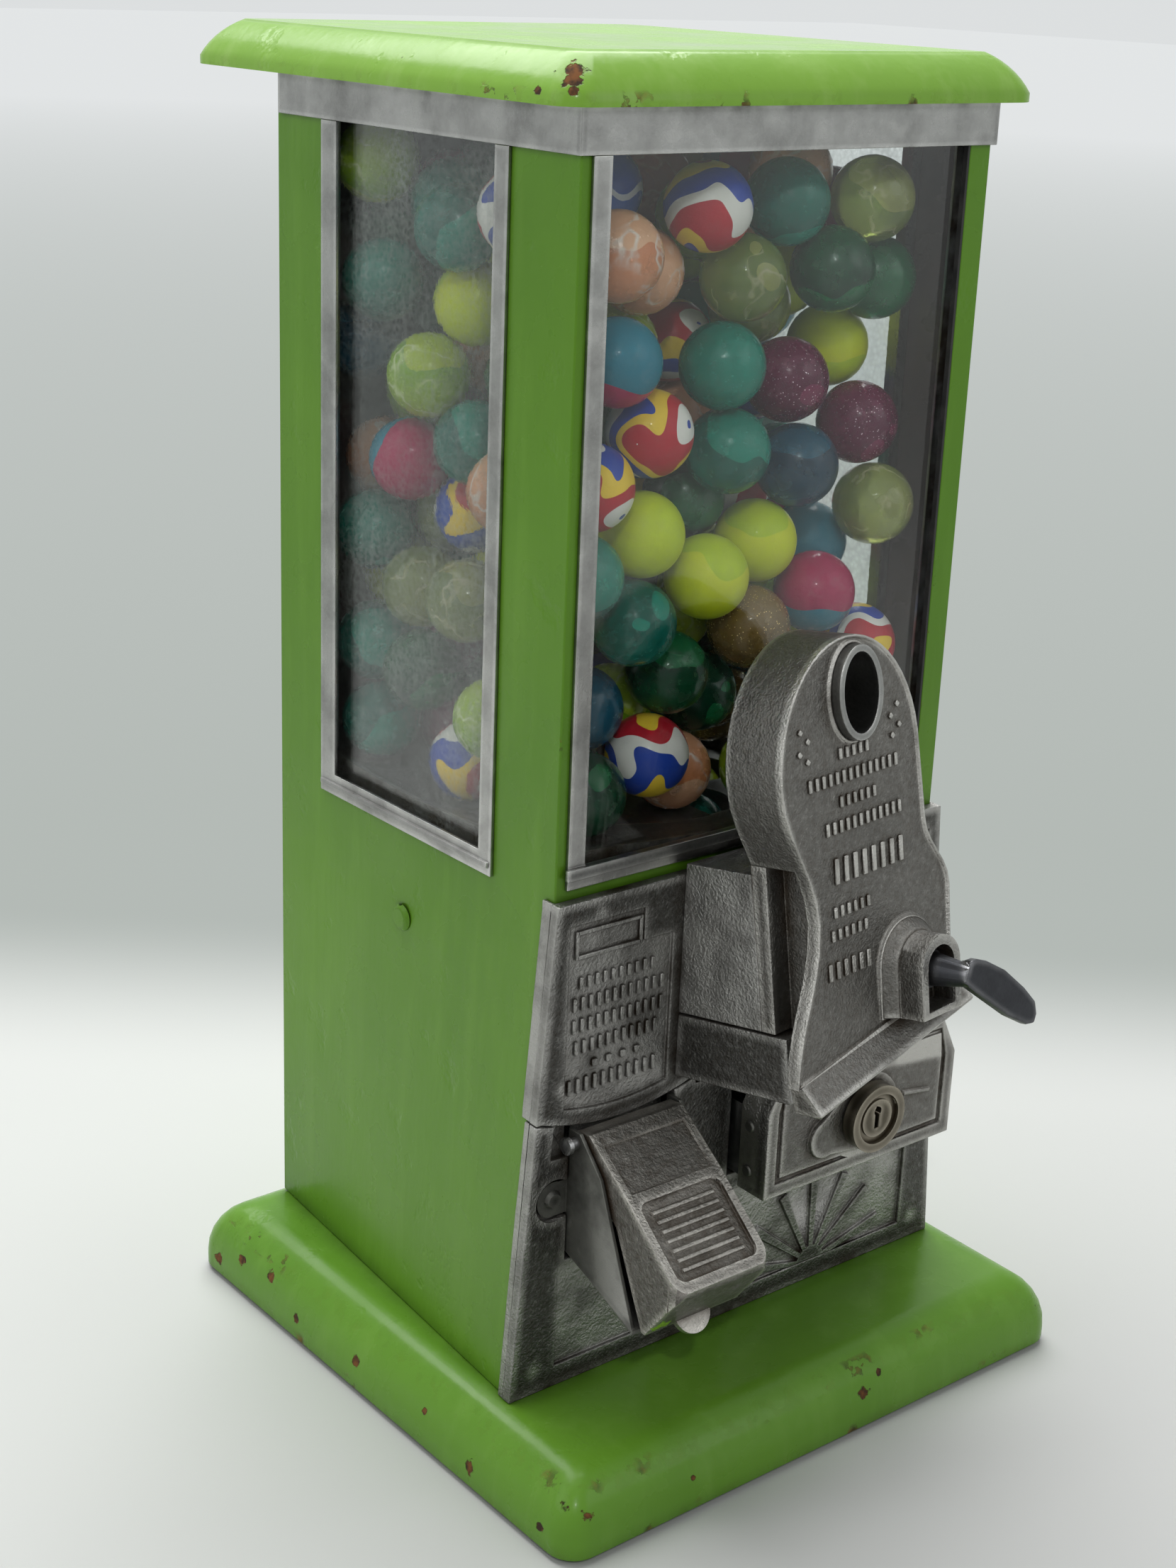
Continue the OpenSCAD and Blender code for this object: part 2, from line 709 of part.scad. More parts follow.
module mech_ledge() {
  wide = housing_left + housing_right;
  color(cast) before_plates() in_mech() difference() {
    union() {
      forward(-16, ledge_d) translate([-housing_left, ledge_low]) square([housing_left + 8, ledge_h]);
      forward(-16, 18) translate([-housing_left, ledge_low]) square([wide, ledge_h]);
    }
    forward(-18, ledge_d - 3) translate([-housing_left + 3, ledge_low + 2.4]) square([housing_left + 2, ledge_h - 5.4]);
    forward(-18, 15) translate([-housing_left + 3, ledge_low + 2.4]) square([wide - 6, ledge_h - 5.4]);
    forward(head_back - 2, head_back + 6) translate([shaft_x - 14, -housing_drop - 6]) square([28, 10]);
  }
}

// Outline of the coin head seen from the front, above its waist
function arc_points(cx, cy, rx, ry, a0, a1, n) = [
  for (i = [0 : n]) let (a = a0 + (a1 - a0) * i / n) [cx + rx * cos(a), cy + ry * sin(a)]
];

head_x = -2.8;

// Smooth step between two places, used for the waist of the casting
function ease(a, b, t) = a + (b - a) * (1 - cos(180 * t)) / 2;

waist_x = -20.7;
waist_up = 11;
foot_x = -33;
foot_up = -33;
shoulder_x = 39.2;
shoulder_up = 9;

// Height of the line on which the head ends above the lip bar
function lip_line(x) = foot_up + 0.5 + (x - foot_x) * tan(lip_angle);

neck_x = 29;
neck_up = 31;

function head_outline() = concat(
  arc_points(head_x, head_mid, head_half, head_rise, 0, 180, 24),
  [for (i = [1 : 6]) [ease(head_x - head_half, waist_x, i / 6), head_mid + (waist_up - head_mid) * i / 6]],
  [for (i = [1 : 6]) [ease(waist_x, foot_x, i / 6), waist_up + (foot_up - waist_up) * i / 6]],
  [[shoulder_x - 1, lip_line(shoulder_x) - 2], [shoulder_x, shoulder_up]],
  [for (i = [1 : 6]) [ease(shoulder_x, neck_x, i / 6), shoulder_up + (neck_up - shoulder_up) * i / 6]]
);

face_t = 4.5;
back_t = 5;
core_left = 17;

boss_r = 9;
boss_up = 1.4 - shaft_drop;

// Oval with true height and width, as points
function oval(w, h) = [for (i = [0 : 35]) [w / 2 * cos(10 * i), h / 2 * sin(10 * i)]];

module boss_outline(grow) {
  translate([shaft_x - boss_r - grow, -housing_drop - 1]) square([2 * (boss_r + grow), housing_drop + 1 + boss_up]);
  translate([shaft_x, boss_up]) circle(r = boss_r + grow);
}

module lip_bar() {
  translate([foot_x + 1, 0, foot_up + 0.5]) rotate([0, -lip_angle, 0]) rotate([90, 0, 90]) linear_extrude(73)
    polygon([
      [-face_d + face_t - 0.2, 0.6], [-face_d, 0], [-face_d - 5.6, -lip_h + 1.2], [-face_d - 4.6, -lip_h],
      [-face_d + face_t - 0.2, -lip_h]
    ]);
}

module coin_head() {
  color(cast) in_mech() difference() {
    union() {
      forward(face_d - face_t, face_d) polygon(head_outline());
      forward(head_back, face_d - face_t) intersection() {
        polygon(head_outline());
        translate([-60, 27]) square([120, 80]);
      }
      forward(head_back, face_d - face_t) polygon([
        [-core_left, lip_line(-core_left) - 5], [shoulder_x - 3, lip_line(shoulder_x - 3) - 5], [shoulder_x - 3, 20],
        [neck_x - 2, 30], [-core_left, 30]
      ]);
      forward(head_back, head_back + back_t) translate([-housing_left, -housing_drop])
        square([housing_left + housing_right, housing_drop + 30]);
      hull() {
        forward(face_d - 1, face_d + 0.2) boss_outline(3.4);
        forward(face_d, face_d + 4) boss_outline(0.6);
      }
      forward(face_d, face_d + boss_out) boss_outline(0);
      lip_bar();
    }
    forward(face_d + 4, face_d + boss_out + 1) {
      translate([shaft_x - 6.2, -housing_drop + 1]) square([12.4, housing_drop - 1 + boss_up]);
      translate([shaft_x, boss_up]) circle(r = 6.2);
    }
    translate([coin_x, 0, coin_up]) forward(head_back + 2.5, face_d + 1)
      polygon(oval(coin_hole_w + 2 * coin_ring_wall, coin_hole_h + 2 * coin_ring_wall));
    forward(head_back - 1, face_d - face_t) {
      translate([shaft_x, -shaft_drop]) circle(r = coin_wheel_r + 1.6);
      translate([head_x - 9, -4]) square([26, coin_up - 6]);
      translate([head_x - 9, -4]) square([37, 22]);
    }
    forward(head_back - 1, ledge_d + 0.3) translate([-housing_left - 1, ledge_low - 1])
      square([housing_left + 9.3, ledge_h + 1.3]);
    forward(head_back - 1, face_d - face_t - 1) translate([shaft_x - 12, foot_up - 4]) square([24, 24]);
    translate([shaft_x, 0, -shaft_drop]) forward(0, face_d + 6) circle(r = 6.5);
  }
}

module coin_ring() {
  d0 = face_d - 12;
  color(bright) in_mech() translate([coin_x, 0, coin_up]) difference() {
    union() {
      forward(d0, face_d + coin_ring_out)
        polygon(oval(coin_hole_w + 2 * coin_ring_wall, coin_hole_h + 2 * coin_ring_wall));
    }
    forward(d0 - 1, face_d + coin_ring_out + 1) polygon(oval(coin_hole_w, coin_hole_h));
  }
}

module coin_track() {
  color(steel) in_mech() forward(head_back + 0.4, face_d - face_t - 0.2) polygon([
    [head_x - 8.8, 34], [head_x - 8.8, 32], [1.5, 17], [3.5, 17], [head_x - 6.6, 33]
  ]);
}

module handle_bush() {
  d0 = face_d - face_t;
  color(brass) difference() {
    on_shaft(d0, face_d + 6, 6.5);
    on_shaft(d0 - 1, face_d + 7, shaft_r + run_gap);
  }
}

shank_d = face_d + 8.5;
blade_d = face_d + boss_out + 9;
spigot_r = 2.8;

module handle_shaft() {
  color(steel) {
    on_shaft(-pinion_in - 5, shank_d, shaft_r);
    on_shaft(face_d + 6.3, face_d + 8.3, 5.6);
    on_shaft(face_d, shank_d + 4.5, spigot_r);
  }
}

// Thumb blade in its own plane, for a length of 31.5: x runs out from the shaft
blade_points = [
  [-2.6, 3.4], [-0.5, 5.2], [3.5, 6.6], [12, 7.9], [22, 7.3], [28.5, 6], [31, 3.2], [31.5, 0.4], [28.7, -1.4], [20, -2.8],
  [11, -3], [3.4, -3.2], [-1.5, -3]
];

module thumb_handle() {
  color(steel) difference() {
    union() {
      in_mech() translate([shaft_x, -shank_d, -shaft_drop]) rotate([90, 0, 0])
        cylinder(h = blade_d + 1.4 - shank_d, r1 = 5, r2 = 3.1);
      in_mech() translate([shaft_x, -blade_d, -shaft_drop]) rotate([0, blade_angle, 0]) rotate([0, 0, -7])
        forward(-blade_t / 2, blade_t / 2)
          polygon([for (q = blade_points) [q[0] * blade_len / 31.5, q[1]]]);
    }
    on_shaft(shank_d - 1, shank_d + 4.5 + tiny, spigot_r);
  }
}

wheel_d0 = head_back + 5.5;
notch_r = 10.8;

module coin_wheel() {
  color(brass) in_mech() translate([shaft_x, 0, -shaft_drop]) difference() {
    union() {
      forward(wheel_d0, wheel_d0 + 5) circle(r = coin_wheel_r);
      forward(wheel_d0 - 3, wheel_d0 + 8) circle(r = 7);
    }
    forward(wheel_d0 - 4, wheel_d0 + 9) circle(r = shaft_r);
    forward(wheel_d0 - 1, wheel_d0 + 6) translate([0, coin_wheel_r + 2]) circle(r = 7.5);
    for (i = [1 : 11]) {
      forward(wheel_d0 - 1, wheel_d0 + 6) rotate([0, 0, 90 + 30 * i]) translate([coin_wheel_r + 1.2, 0]) circle(r = 2.6);
    }
  }
}

pawl_x = shaft_x - coin_wheel_r - 9;
pawl_up = -shaft_drop + 22;

module coin_pawl() {
  color(steel) in_mech() difference() {
    forward(wheel_d0 + 0.6, wheel_d0 + 4.4) union() {
      translate([pawl_x, pawl_up]) circle(r = 4);
      polygon([[pawl_x, pawl_up + 3.6], [pawl_x, pawl_up - 3.4], [shaft_x - 6, -shaft_drop + 17.4],
        [shaft_x + 3, -shaft_drop + 16.6], [shaft_x + 3, -shaft_drop + 19]]);
    }
    translate([pawl_x, 0, pawl_up]) forward(wheel_d0 - 2, wheel_d0 + 8) circle(r = 1.5 + run_gap);
  }
}

module pawl_pin() {
  color(steel) in_mech() translate([pawl_x, 0, pawl_up]) forward(wheel_d0 - 2, face_d - face_t - 0.02) circle(r = 1.5);
}

module pinion() {
  color(brass) in_mech() translate([shaft_x, 0, -shaft_drop]) difference() {
    union() {
      forward(-pinion_in - 3.4, -pinion_in + 3.4) circle(r = 5.4);
      for (i = [0 : pinion_n - 1]) {
        forward(-pinion_in - 3, -pinion_in + 3) rotate([0, 0, 90 + (i + 0.5) * 360 / pinion_n])
          translate([4.6, -tooth_t / 2]) square([pinion_tip - 4.6, tooth_t]);
      }
    }
    forward(-pinion_in - 4, -pinion_in + 4) circle(r = shaft_r);
  }
}

bracket_d0 = -pinion_in + 6;

module shaft_bracket() {
  color(steel) difference() {
    in_mech() difference() {
      forward(bracket_d0, 12) translate([shaft_x - 15, -shaft_drop - 11]) square([30, 20]);
      forward(bracket_d0 + 4, 13) translate([shaft_x - 12, -shaft_drop - 14]) square([24, 40]);
      translate([shaft_x, 0, -shaft_drop]) forward(bracket_d0 - 1, bracket_d0 + 6) circle(r = shaft_r + run_gap);
    }
    block(-150, 150, -150, -cab_y, 0, 400);
  }
}

module at_wheel() {
  translate([wheel_x, wheel_y, 0]) children();
}

module hopper_floor() {
  in_x = cab_x - cab_wall - 0.3;
  in_y = cab_y - cab_wall - 0.3;
  glass_x = in_x - glass_t - 0.5;
  wall_z = rim_z + 7;
  arm_low = peg_low - 5;
  color(cast) difference() {
    union() {
      difference() {
        union() {
          block(-glass_x, glass_x, -in_y + glass_t + 0.5, in_y, rim_z - 3, wall_z);
          for (sy = [-1, 1]) block(-in_x, in_x, sy * 52 - 4.3, sy * 52 + 5.7, rim_z - 1, rim_z + 5);
          for (sx = [0, 1]) mirror([sx, 0, 0]) {
            block(in_x - 8, in_x, -10, 12, side_rivet_z - 6, side_sill_z - 6);
            block(glass_x - 6, glass_x, -10, 12, side_rivet_z - 6, rim_z);
          }
          block(-40, 40, -in_y, -in_y + glass_t + 1, front_sill_z - 9, front_sill_z - 6);
        }
        at_wheel() translate([0, 0, rim_z]) cylinder(h = 20, r1 = well_r, r2 = well_r + 110);
        at_wheel() translate([0, 0, 100]) cylinder(h = 200, r = well_r);
      }
      difference() {
        at_wheel() translate([0, 0, arm_low]) cylinder(h = rim_z - arm_low, r = well_r + 1.8);
        at_wheel() translate([0, 0, arm_low - 1]) cylinder(h = rim_z, r = well_r);
        block(wheel_x - 50, wheel_x + 26, wheel_y - 60, wheel_y - 20, arm_low - 1, wheel_low + 0.5);
      }
      difference() {
        at_wheel() translate([0, 0, arm_low]) cylinder(h = floor_z - arm_low, r = peg_ring - peg_r - 1.2);
        translate([drop_x, drop_y, arm_low - 1]) cylinder(h = 30, r = pocket_r + 0.7);
      }
      for (a = [10, 90, 170]) {
        at_wheel() rotate([0, 0, a]) translate([40, -7, arm_low]) cube([well_r - 39.5, 14, peg_low - arm_low - 0.8]);
      }
    }
    at_wheel() translate([0, 0, 100]) cylinder(h = 100, r = spindle_r);
    side_rivet_places() translate([0, 0, -8]) cylinder(h = 12, r = 2);
    guard_seat(30);
    on_shaft(-pinion_in - 8, 10, pinion_tip + 1.2);
  }
}

// Thickness of the ring that holds the pegs
ring_t = 1.2;

module vend_wheel() {
  color(bright) difference() {
    at_wheel() translate([0, 0, wheel_low + ring_t]) cylinder(h = wheel_t - ring_t, r = wheel_r);
    at_wheel() translate([0, 0, wheel_low - 1]) cylinder(h = wheel_t + 2, r = spindle_r + run_gap);
    for (i = [0 : pocket_n - 1]) {
      at_wheel() rotate([0, 0, drop_dir + i * 360 / pocket_n]) translate([pocket_pitch, 0, wheel_low - 1])
        cylinder(h = wheel_t + 2, r = pocket_r);
    }
  }
}

// Ring under the wheel with the pegs that the pinion drives
module wheel_pegs() {
  color(steel) union() {
    difference() {
      at_wheel() translate([0, 0, wheel_low]) cylinder(h = ring_t, r = wheel_r);
      at_wheel() translate([0, 0, wheel_low - 1]) cylinder(h = ring_t + 2, r = peg_ring - peg_r - 2);
    }
    for (i = [0 : peg_n - 1]) {
      a = wheel_dir + i * 360 / peg_n;
      at_wheel() rotate([0, 0, a]) translate([peg_ring, 0, peg_low])
        cylinder(h = wheel_low - peg_low + ring_t / 2, r = peg_r, $fn = 16);
    }
  }
}

module wheel_spindle() {
  arm_low = peg_low - 5;
  color(steel) at_wheel() {
    translate([0, 0, arm_low]) cylinder(h = wheel_top + 1 - arm_low, r = spindle_r);
    translate([0, 0, arm_low - 3]) cylinder(h = 3, r = spindle_r + 3);
  }
}

module agitator() {
  color(cast) at_wheel() difference() {
    union() {
      translate([0, 0, wheel_top]) cylinder(h = 4, r1 = 15, r2 = 9);
      for (i = [0 : 2]) {
        rotate([0, 0, drop_dir + 30 + 120 * i]) translate([4, -1.5, wheel_top]) cube([12, 3, 4]);
      }
    }
    translate([0, 0, wheel_top - 1]) cylinder(h = 2.4, r = spindle_r + 1);
  }
}

// Shape of the guard over the drop hole, for a height
module guard_seat(h) {
  intersection() {
    at_wheel() translate([0, 0, rim_z - 1.6]) cylinder(h = h, r = well_r + 1);
    translate([drop_x - 19, drop_y - 40, rim_z - 2]) cube([38, 56, h + 2]);
  }
}

module drop_guard() {
  color(steel) difference() {
    guard_seat(1.6);
    at_wheel() translate([0, 0, rim_z - 3]) cylinder(h = 6, r = 17);
  }
}

// Height of the floor under a ball centre at a place
function rest_floor(x, y) = let (r = norm([x - wheel_x, y - wheel_y]))
  rim_z + 0.4 + max(0, (r - well_r) * 20 / 110) * 0.999 + ball_r + (r > well_r ? 0.35 : 0);

// Height at which a ball comes to rest at a place on those already there
function rest_on(x, y, placed) = let (
  reach = ball_d + ball_gap,
  tops = [for (p = placed) let (h = (p[0] - x) * (p[0] - x) + (p[1] - y) * (p[1] - y))
    if (h < reach * reach) p[2] + sqrt(reach * reach - h)]
) max(concat([rest_floor(x, y)], tops));

try_n = 34;
half_x = cab_x - cab_wall - 2 * glass_gap - glass_t - 1.2 - ball_r;
front_y = -cab_y + cab_wall + 2 * glass_gap + glass_t + 1.2 + ball_r;
rear_y = cab_y - cab_wall - 0.4 - ball_r;

function lowest(list, best, i) = i >= len(list) ? best : lowest(list, list[i][2] < best[2] ? list[i] : best, i + 1);

function next_ball(placed, seed) = let (
  xs = rands(-1, 1, try_n, seed),
  ys = rands(0, 1, try_n, seed + 1000),
  places = [for (i = [0 : try_n - 1])
    let (x = max(-half_x, min(half_x, xs[i] * half_x * 1.12)), y = max(front_y, min(rear_y, front_y + (ys[i] * 1.12 - 0.06) * (rear_y - front_y))))
    [x, y, rest_on(x, y, placed)]]
) lowest(places, places[0], 1);

function tail(list, n) = len(list) <= n ? list : [for (i = [len(list) - n : len(list) - 1]) list[i]];

function load_balls(done, seed) = let (b = next_ball(tail(done, 110), seed))
  b[2] + ball_r > rim_z + load_h ? done : load_balls(concat(done, [b]), seed + 1);

module ball_load() {
  color([0.3, 0.65, 0.5]) for (b = load_balls([], 7)) translate(b) sphere(d = ball_d);
}

module pocket_balls() {
  color([0.85, 0.3, 0.2]) for (i = [1 : pocket_n - 1]) {
    at_wheel() rotate([0, 0, drop_dir + i * 360 / pocket_n]) translate([pocket_pitch, 0, floor_z + 0.3 + ball_r])
      sphere(d = ball_d);
  }
}

mouth_low = flap_z - 35;
mouth_top = flap_z - 8;

// Solid of the inner chute, drawn in by t
module chute_core(t, over) {
  hull() {
    translate([drop_x - 16 + t, drop_y - 16 + t, peg_low - 9 + over]) cube([32 - 2 * t, 32 - 2 * t, 1]);
    block(
      -chute_left + 0.4 + t, chute_right - 0.4 - t, -cab_y - over, -cab_y + 1, mouth_low + t, mouth_top - t
    );
  }
}

module inner_chute() {
  color(cast) difference() {
    union() {
      chute_core(0, 0);
      block(drop_x - 16, drop_x + 16, drop_y - 16, drop_y + 16, peg_low - 9, peg_low - 5.3);
    }
    chute_core(1.4, 1);
    block(drop_x - 14.6, drop_x + 14.6, drop_y - 14.6, drop_y + 14.6, peg_low - 8.2, peg_low - 4);
  }
}

// Side view of the fixed chute plates, forward and up
function side_plate() = [
  [-1, mouth_low - 1.6], [12, mouth_low - 6], [31, flap_z - 48.5], [14, flap_z - 7], [4, flap_z + 3.3],
  [-1, flap_z + 3.3]
];

module chute_sides() {
  tip = 31;
  color(bright) difference() {
    union() {
      for (x = [-chute_left - chute_t, chute_right]) {
        translate([x, plate_y, 0]) rotate([90, 0, 90]) linear_extrude(chute_t)
          polygon([for (p = side_plate()) [-p[0], p[1]]]);
      }
      translate([-chute_left - chute_t, plate_y, 0]) rotate([90, 0, 90]) linear_extrude(chute_w + 2 * chute_t)
        polygon([[1, mouth_low - 0.4], [1, mouth_low - 1.6], [-12, mouth_low - 6], [-tip, flap_z - 48.5],
          [-tip, flap_z - 47.1], [-12, mouth_low - 4.7]]);
      difference() {
        union() {
          translate([-chute_left - 6.2, plate_y + 2.2, flap_z - 18.3]) rotate([90, 0, 0]) cylinder(h = chute_t, r = 5.6);
          block(-chute_left - 7, -chute_left, plate_y + 1, plate_y + 2.2, flap_z - 23.9, flap_z - 13);
        }
        translate([-chute_left - 6.2, plate_y + 3, flap_z - 18.3]) rotate([90, 0, 0]) cylinder(h = 6, r = 1.6);
      }
      block(chute_right, chute_right + 6, plate_y + 0.02 - 1.2, plate_y - 0.02, flap_z - 30, flap_z - 14);
    }
    translate([-120, hinge_y, flap_z]) rotate([0, 90, 0]) cylinder(h = 200, r = flap_pin_r);
  }
}

module chute_rivets() {
  color(bright) {
    translate([-chute_left - 6.2, plate_y + 1 - 0.02, flap_z - 18.3]) rotate([90, 0, 0]) {
      cylinder(h = 1.2, r1 = 2.9, r2 = 2.1);
      translate([0, 0, -2.4]) cylinder(h = 2.5, r = 1.55);
    }
    for (z = [flap_z - 26, flap_z - 18]) {
      translate([chute_right + 3.4, plate_y - 1.22, z]) rotate([90, 0, 0]) cylinder(h = 0.9, r1 = 1.7, r2 = 1.2);
    }
  }
}

// Side view of the flap: forward of the hinge and under it
bend = [22, -9.6];
flap_slope = atan2(flap_drop - 0.6 + bend[1], flap_reach - bend[0]);
top_slope = atan2(3.4 - bend[1], bend[0] - 3.6);
panel_len = norm([flap_reach - bend[0], flap_drop - 0.6 + bend[1]]);

function flap_side() = [
  [-3.2, 0], [-1.9, 2.6], [3.6, 3.4], bend, [flap_reach, -flap_drop + 0.6], [flap_reach - 1, -flap_drop - 2],
  [31.6, -47.6], [30, -47.6], [17, -20], [8, -12], [-2, -6]
];

// The sunk panel on the flap, which faces up and forward
module on_panel() {
  translate([-chute_left + chute_w / 2, hinge_y - bend[0], flap_z + bend[1]]) rotate([flap_slope, 0, 0]) children();
}

module chute_flap() {
  w = chute_w - 1;
  x0 = -chute_left + 0.5;
  half = w / 2 - 2.6;
  color(cast) difference() {
    union() {
      intersection() {
        translate([x0, hinge_y, flap_z]) rotate([90, 0, 90]) linear_extrude(w)
          polygon([for (p = flap_side()) [-p[0], p[1]]]);
        rounded_block(x0, x0 + w, hinge_y - flap_reach, hinge_y + 20, flap_z - 60, flap_z + 9, 4.5);
      }
      translate([x0 + w / 2, hinge_y - 31, flap_z - 46]) rotate([60, 0, 0]) cylinder(h = 2, r = 6.4, center = true);
    }
    translate([x0 + flap_t, hinge_y, flap_z]) rotate([90, 0, 90]) linear_extrude(w - 2 * flap_t)
      polygon([
        [12, -1], [-1, -0.6 - flap_t / 3], [-21, -9.6 - flap_t - 0.8],
        [-flap_reach + flap_t + 1, -flap_drop - flap_t + 1.5], [-31.6 + flap_t, -46], [-31, -60], [12, -60]
      ]);
    difference() {
      on_panel() rounded_block(-half, half, -panel_len + 3.2, -1.4, -1.2, 3, 3);
      for (i = [0 : 6]) {
        on_panel() translate([-half + 3.4, -panel_len + 6 + 3 * i, -1.3]) cube([2 * half - 6.8, 1.3, 0.9]);
      }
    }
    on_panel() rotate([top_slope - flap_slope, 0, 0]) translate([-half, 2, -0.6]) cube([2 * half, 16, 4]);
    translate([-120, hinge_y, flap_z]) rotate([0, 90, 0]) cylinder(h = 200, r = flap_pin_r + run_gap);
  }
}

module flap_pin() {
  color(steel) translate([-chute_left - chute_t - 4, hinge_y, flap_z]) rotate([0, 90, 0]) {
    cylinder(h = chute_w + 2 * chute_t + 5, r = flap_pin_r);
    cylinder(h = 1.4, r = flap_pin_r + 0.8);
  }
}

cut_x = 7;
cut_z = 14;

module door_outline(t) {
  polygon([
    [-door_left + t, door_low_z + t], [door_right - t, door_low_z + t],
    [door_right - t, door_top_z - cut_z], [door_right - cut_x, door_top_z - t],
    [-door_left + cut_x, door_top_z - t], [-door_left + t, door_top_z - cut_z]
  ]);
}

module door_forward(y0, y1) {
  translate([0, y0, 0]) rotate([90, 0, 0]) linear_extrude(y0 - y1) children();
}

door_back = door_y + door_t;

module cash_door() {
  color(cast) difference() {
    union() {
      door_forward(door_back, door_y) door_outline(0);
      translate([door_mid, door_y + 0.1, lock_z]) rotate([90, 0, 0]) linear_extrude(1.7) polygon(concat(
        arc_points(0, 0, lock_r + 4.4, lock_r + 4.4, -72, 108, 14), arc_points(-16.5, -4.2, 6.5, 6.5, 108, 288, 10)
      ));
      translate([door_mid + 17, door_y - 0.8, lock_z + 0.4]) rotate([0, 9, 0]) cube([12, 1, 1.3]);
      difference() {
        door_forward(door_back + 8, door_back) door_outline(0);
        door_forward(door_back + 9, door_back - 1) door_outline(2);
      }
    }
    difference() {
      door_forward(door_y + 1.1, door_y - 1) door_outline(4.4);
      door_forward(door_y + 2, door_y - 2) door_outline(6);
      translate([door_mid, door_y + 1, lock_z]) rotate([90, 0, 0]) cylinder(h = 9, r = lock_r + 6.4);
    }
    translate([door_mid, door_back + 1, lock_z]) rotate([90, 0, 0]) cylinder(h = door_t + 6, r = lock_r);
    box_rivet_places() cylinder(h = 8, r = 1.05, center = true);
  }
}

// The rivets that hold the box in the rim of the door
module box_rivet_places() {
  for (sx = [-1, 1], z = [door_low_z + 7, door_low_z + 22]) {
    translate([sx > 0 ? door_right : -door_left, door_back + 4, z]) rotate([0, 90 * sx, 0]) children();
  }
}

box_low = door_low_z + 2.6;
box_top = door_top_z - cut_z - 2;

module cash_box() {
  x0 = -door_left + 2;
  x1 = door_right - 2;
  color(steel) difference() {
    block(x0, x1, door_back, door_back + box_d, box_low, box_top);
    block(x0 + box_t, x1 - box_t, door_back + box_t, door_back + box_d - box_t, box_low + box_t, box_top + 1);
    translate([door_mid, door_back + 3, lock_z]) rotate([90, 0, 0]) cylinder(h = 6, r = lock_r);
    box_rivet_places() cylinder(h = 8, r = 1.05, center = true);
  }
}

module box_rivets() {
  color(bright) box_rivet_places() {
    translate([0, 0, 0.02]) cylinder(h = 0.7, r1 = 1.9, r2 = 1.3);
    translate([0, 0, -3.4]) cylinder(h = 3.5, r = 1);
  }
}

module box_runners() {
  gap = 0.3;
  x0 = -door_left + 2 - gap;
  x1 = door_right - 2 + gap;
  back = door_back + box_d + 1;
  color(steel) {
    for (s = [0, 1]) {
      difference() {
        block(s > 0 ? x1 - 8 : x0 - 2, s > 0 ? x1 + 2 : x0 + 8, -cab_y, back, box_low - gap - 1.6, box_low + 9);
        block(x0, x1, -cab_y - 1, back + 1, box_low - gap, box_low + 12);
      }
    }
    block(x0 - 2, x1 + 2, back, back + 1.6, box_low - gap - 1.6, box_low + 9);
    for (x = [x0 + 4, x1 - 6]) {
      block(x, x + 2, -cab_y + 20, back, base_top + cab_wall, box_low - gap - 1.5);
      block(x - 4, x + 6, -cab_y + 20, back, base_top + cab_wall, base_top + cab_wall + 2);
    }
  }
}

module at_lock() {
  translate([door_mid, door_y, lock_z]) rotate([90, 0, 0]) children();
}

barrel_out = 7;
barrel_in = 16;

module lock_barrel() {
  color(brass) at_lock() difference() {
    union() {
      translate([0, 0, -barrel_in]) cylinder(h = barrel_in + barrel_out - 1, r = lock_r);
      translate([0, 0, 2.5]) cylinder(h = barrel_out - 2.5, r = lock_r + 2);
    }
    translate([0, 0, -barrel_in - 1]) cylinder(h = 60, r = plug_r + run_gap);
    translate([0, 0, barrel_out - 1.4]) cylinder(h = 3, r = plug_r + 2);
  }
}

module lock_nut() {
  color(brass) at_lock() difference() {
    translate([0, 0, -door_t - box_t - 4.02]) cylinder(h = 4, r = lock_r + 3.4, $fn = 6);
    translate([0, 0, -60]) cylinder(h = 70, r = lock_r);
  }
}

module lock_plug() {
  color(brass) at_lock() difference() {
    union() {
      translate([0, 0, -barrel_in - 3]) cylinder(h = barrel_in + barrel_out + 2.2, r = plug_r);
    }
    translate([-0.8, -3.4, barrel_out - 6]) cube([1.6, 7.4, 12]);
    translate([0, 2.4, barrel_out - 6]) cylinder(h = 12, r = 1.5);
  }
}

module lock_cam() {
  color(steel) at_lock() translate([0, 0, -barrel_in - 5.02]) difference() {
    union() {
      cylinder(h = 2, r = plug_r);
      translate([0, -4, 0]) cube([15, 8, 2]);
    }
    translate([0, 0, -1]) cylinder(h = 1.4, r = 2.5);
  }
}

base();
base_pad();
cabinet();
case_screws();
trim_band();
lid();
lid_leaf();
case_leaf();
hinge_pin();
left_window_trim();
right_window_trim();
front_window_trim();
left_glass();
right_glass();
front_glass();
glass_clips();
upper_plate();
lower_plate();
plate_screws();
mech_housing();
mech_ledge();
coin_head();
coin_ring();
coin_track();
handle_bush();
handle_shaft();
thumb_handle();
coin_wheel();
coin_pawl();
pawl_pin();
pinion();
shaft_bracket();
hopper_floor();
vend_wheel();
wheel_pegs();
wheel_spindle();
agitator();
drop_guard();
pocket_balls();
ball_load();
inner_chute();
chute_sides();
chute_rivets();
chute_flap();
flap_pin();
cash_door();
cash_box();
box_rivets();
box_runners();
lock_barrel();
lock_nut();
lock_plug();
lock_cam();
side_rivets();
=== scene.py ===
"""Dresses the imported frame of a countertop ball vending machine.

Each sub-assembly of the machine is a class that holds its sizes, builds its meshes and gives them their finish.
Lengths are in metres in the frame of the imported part: +Z up, -Y towards the front, +X to the right.
"""

from __future__ import annotations

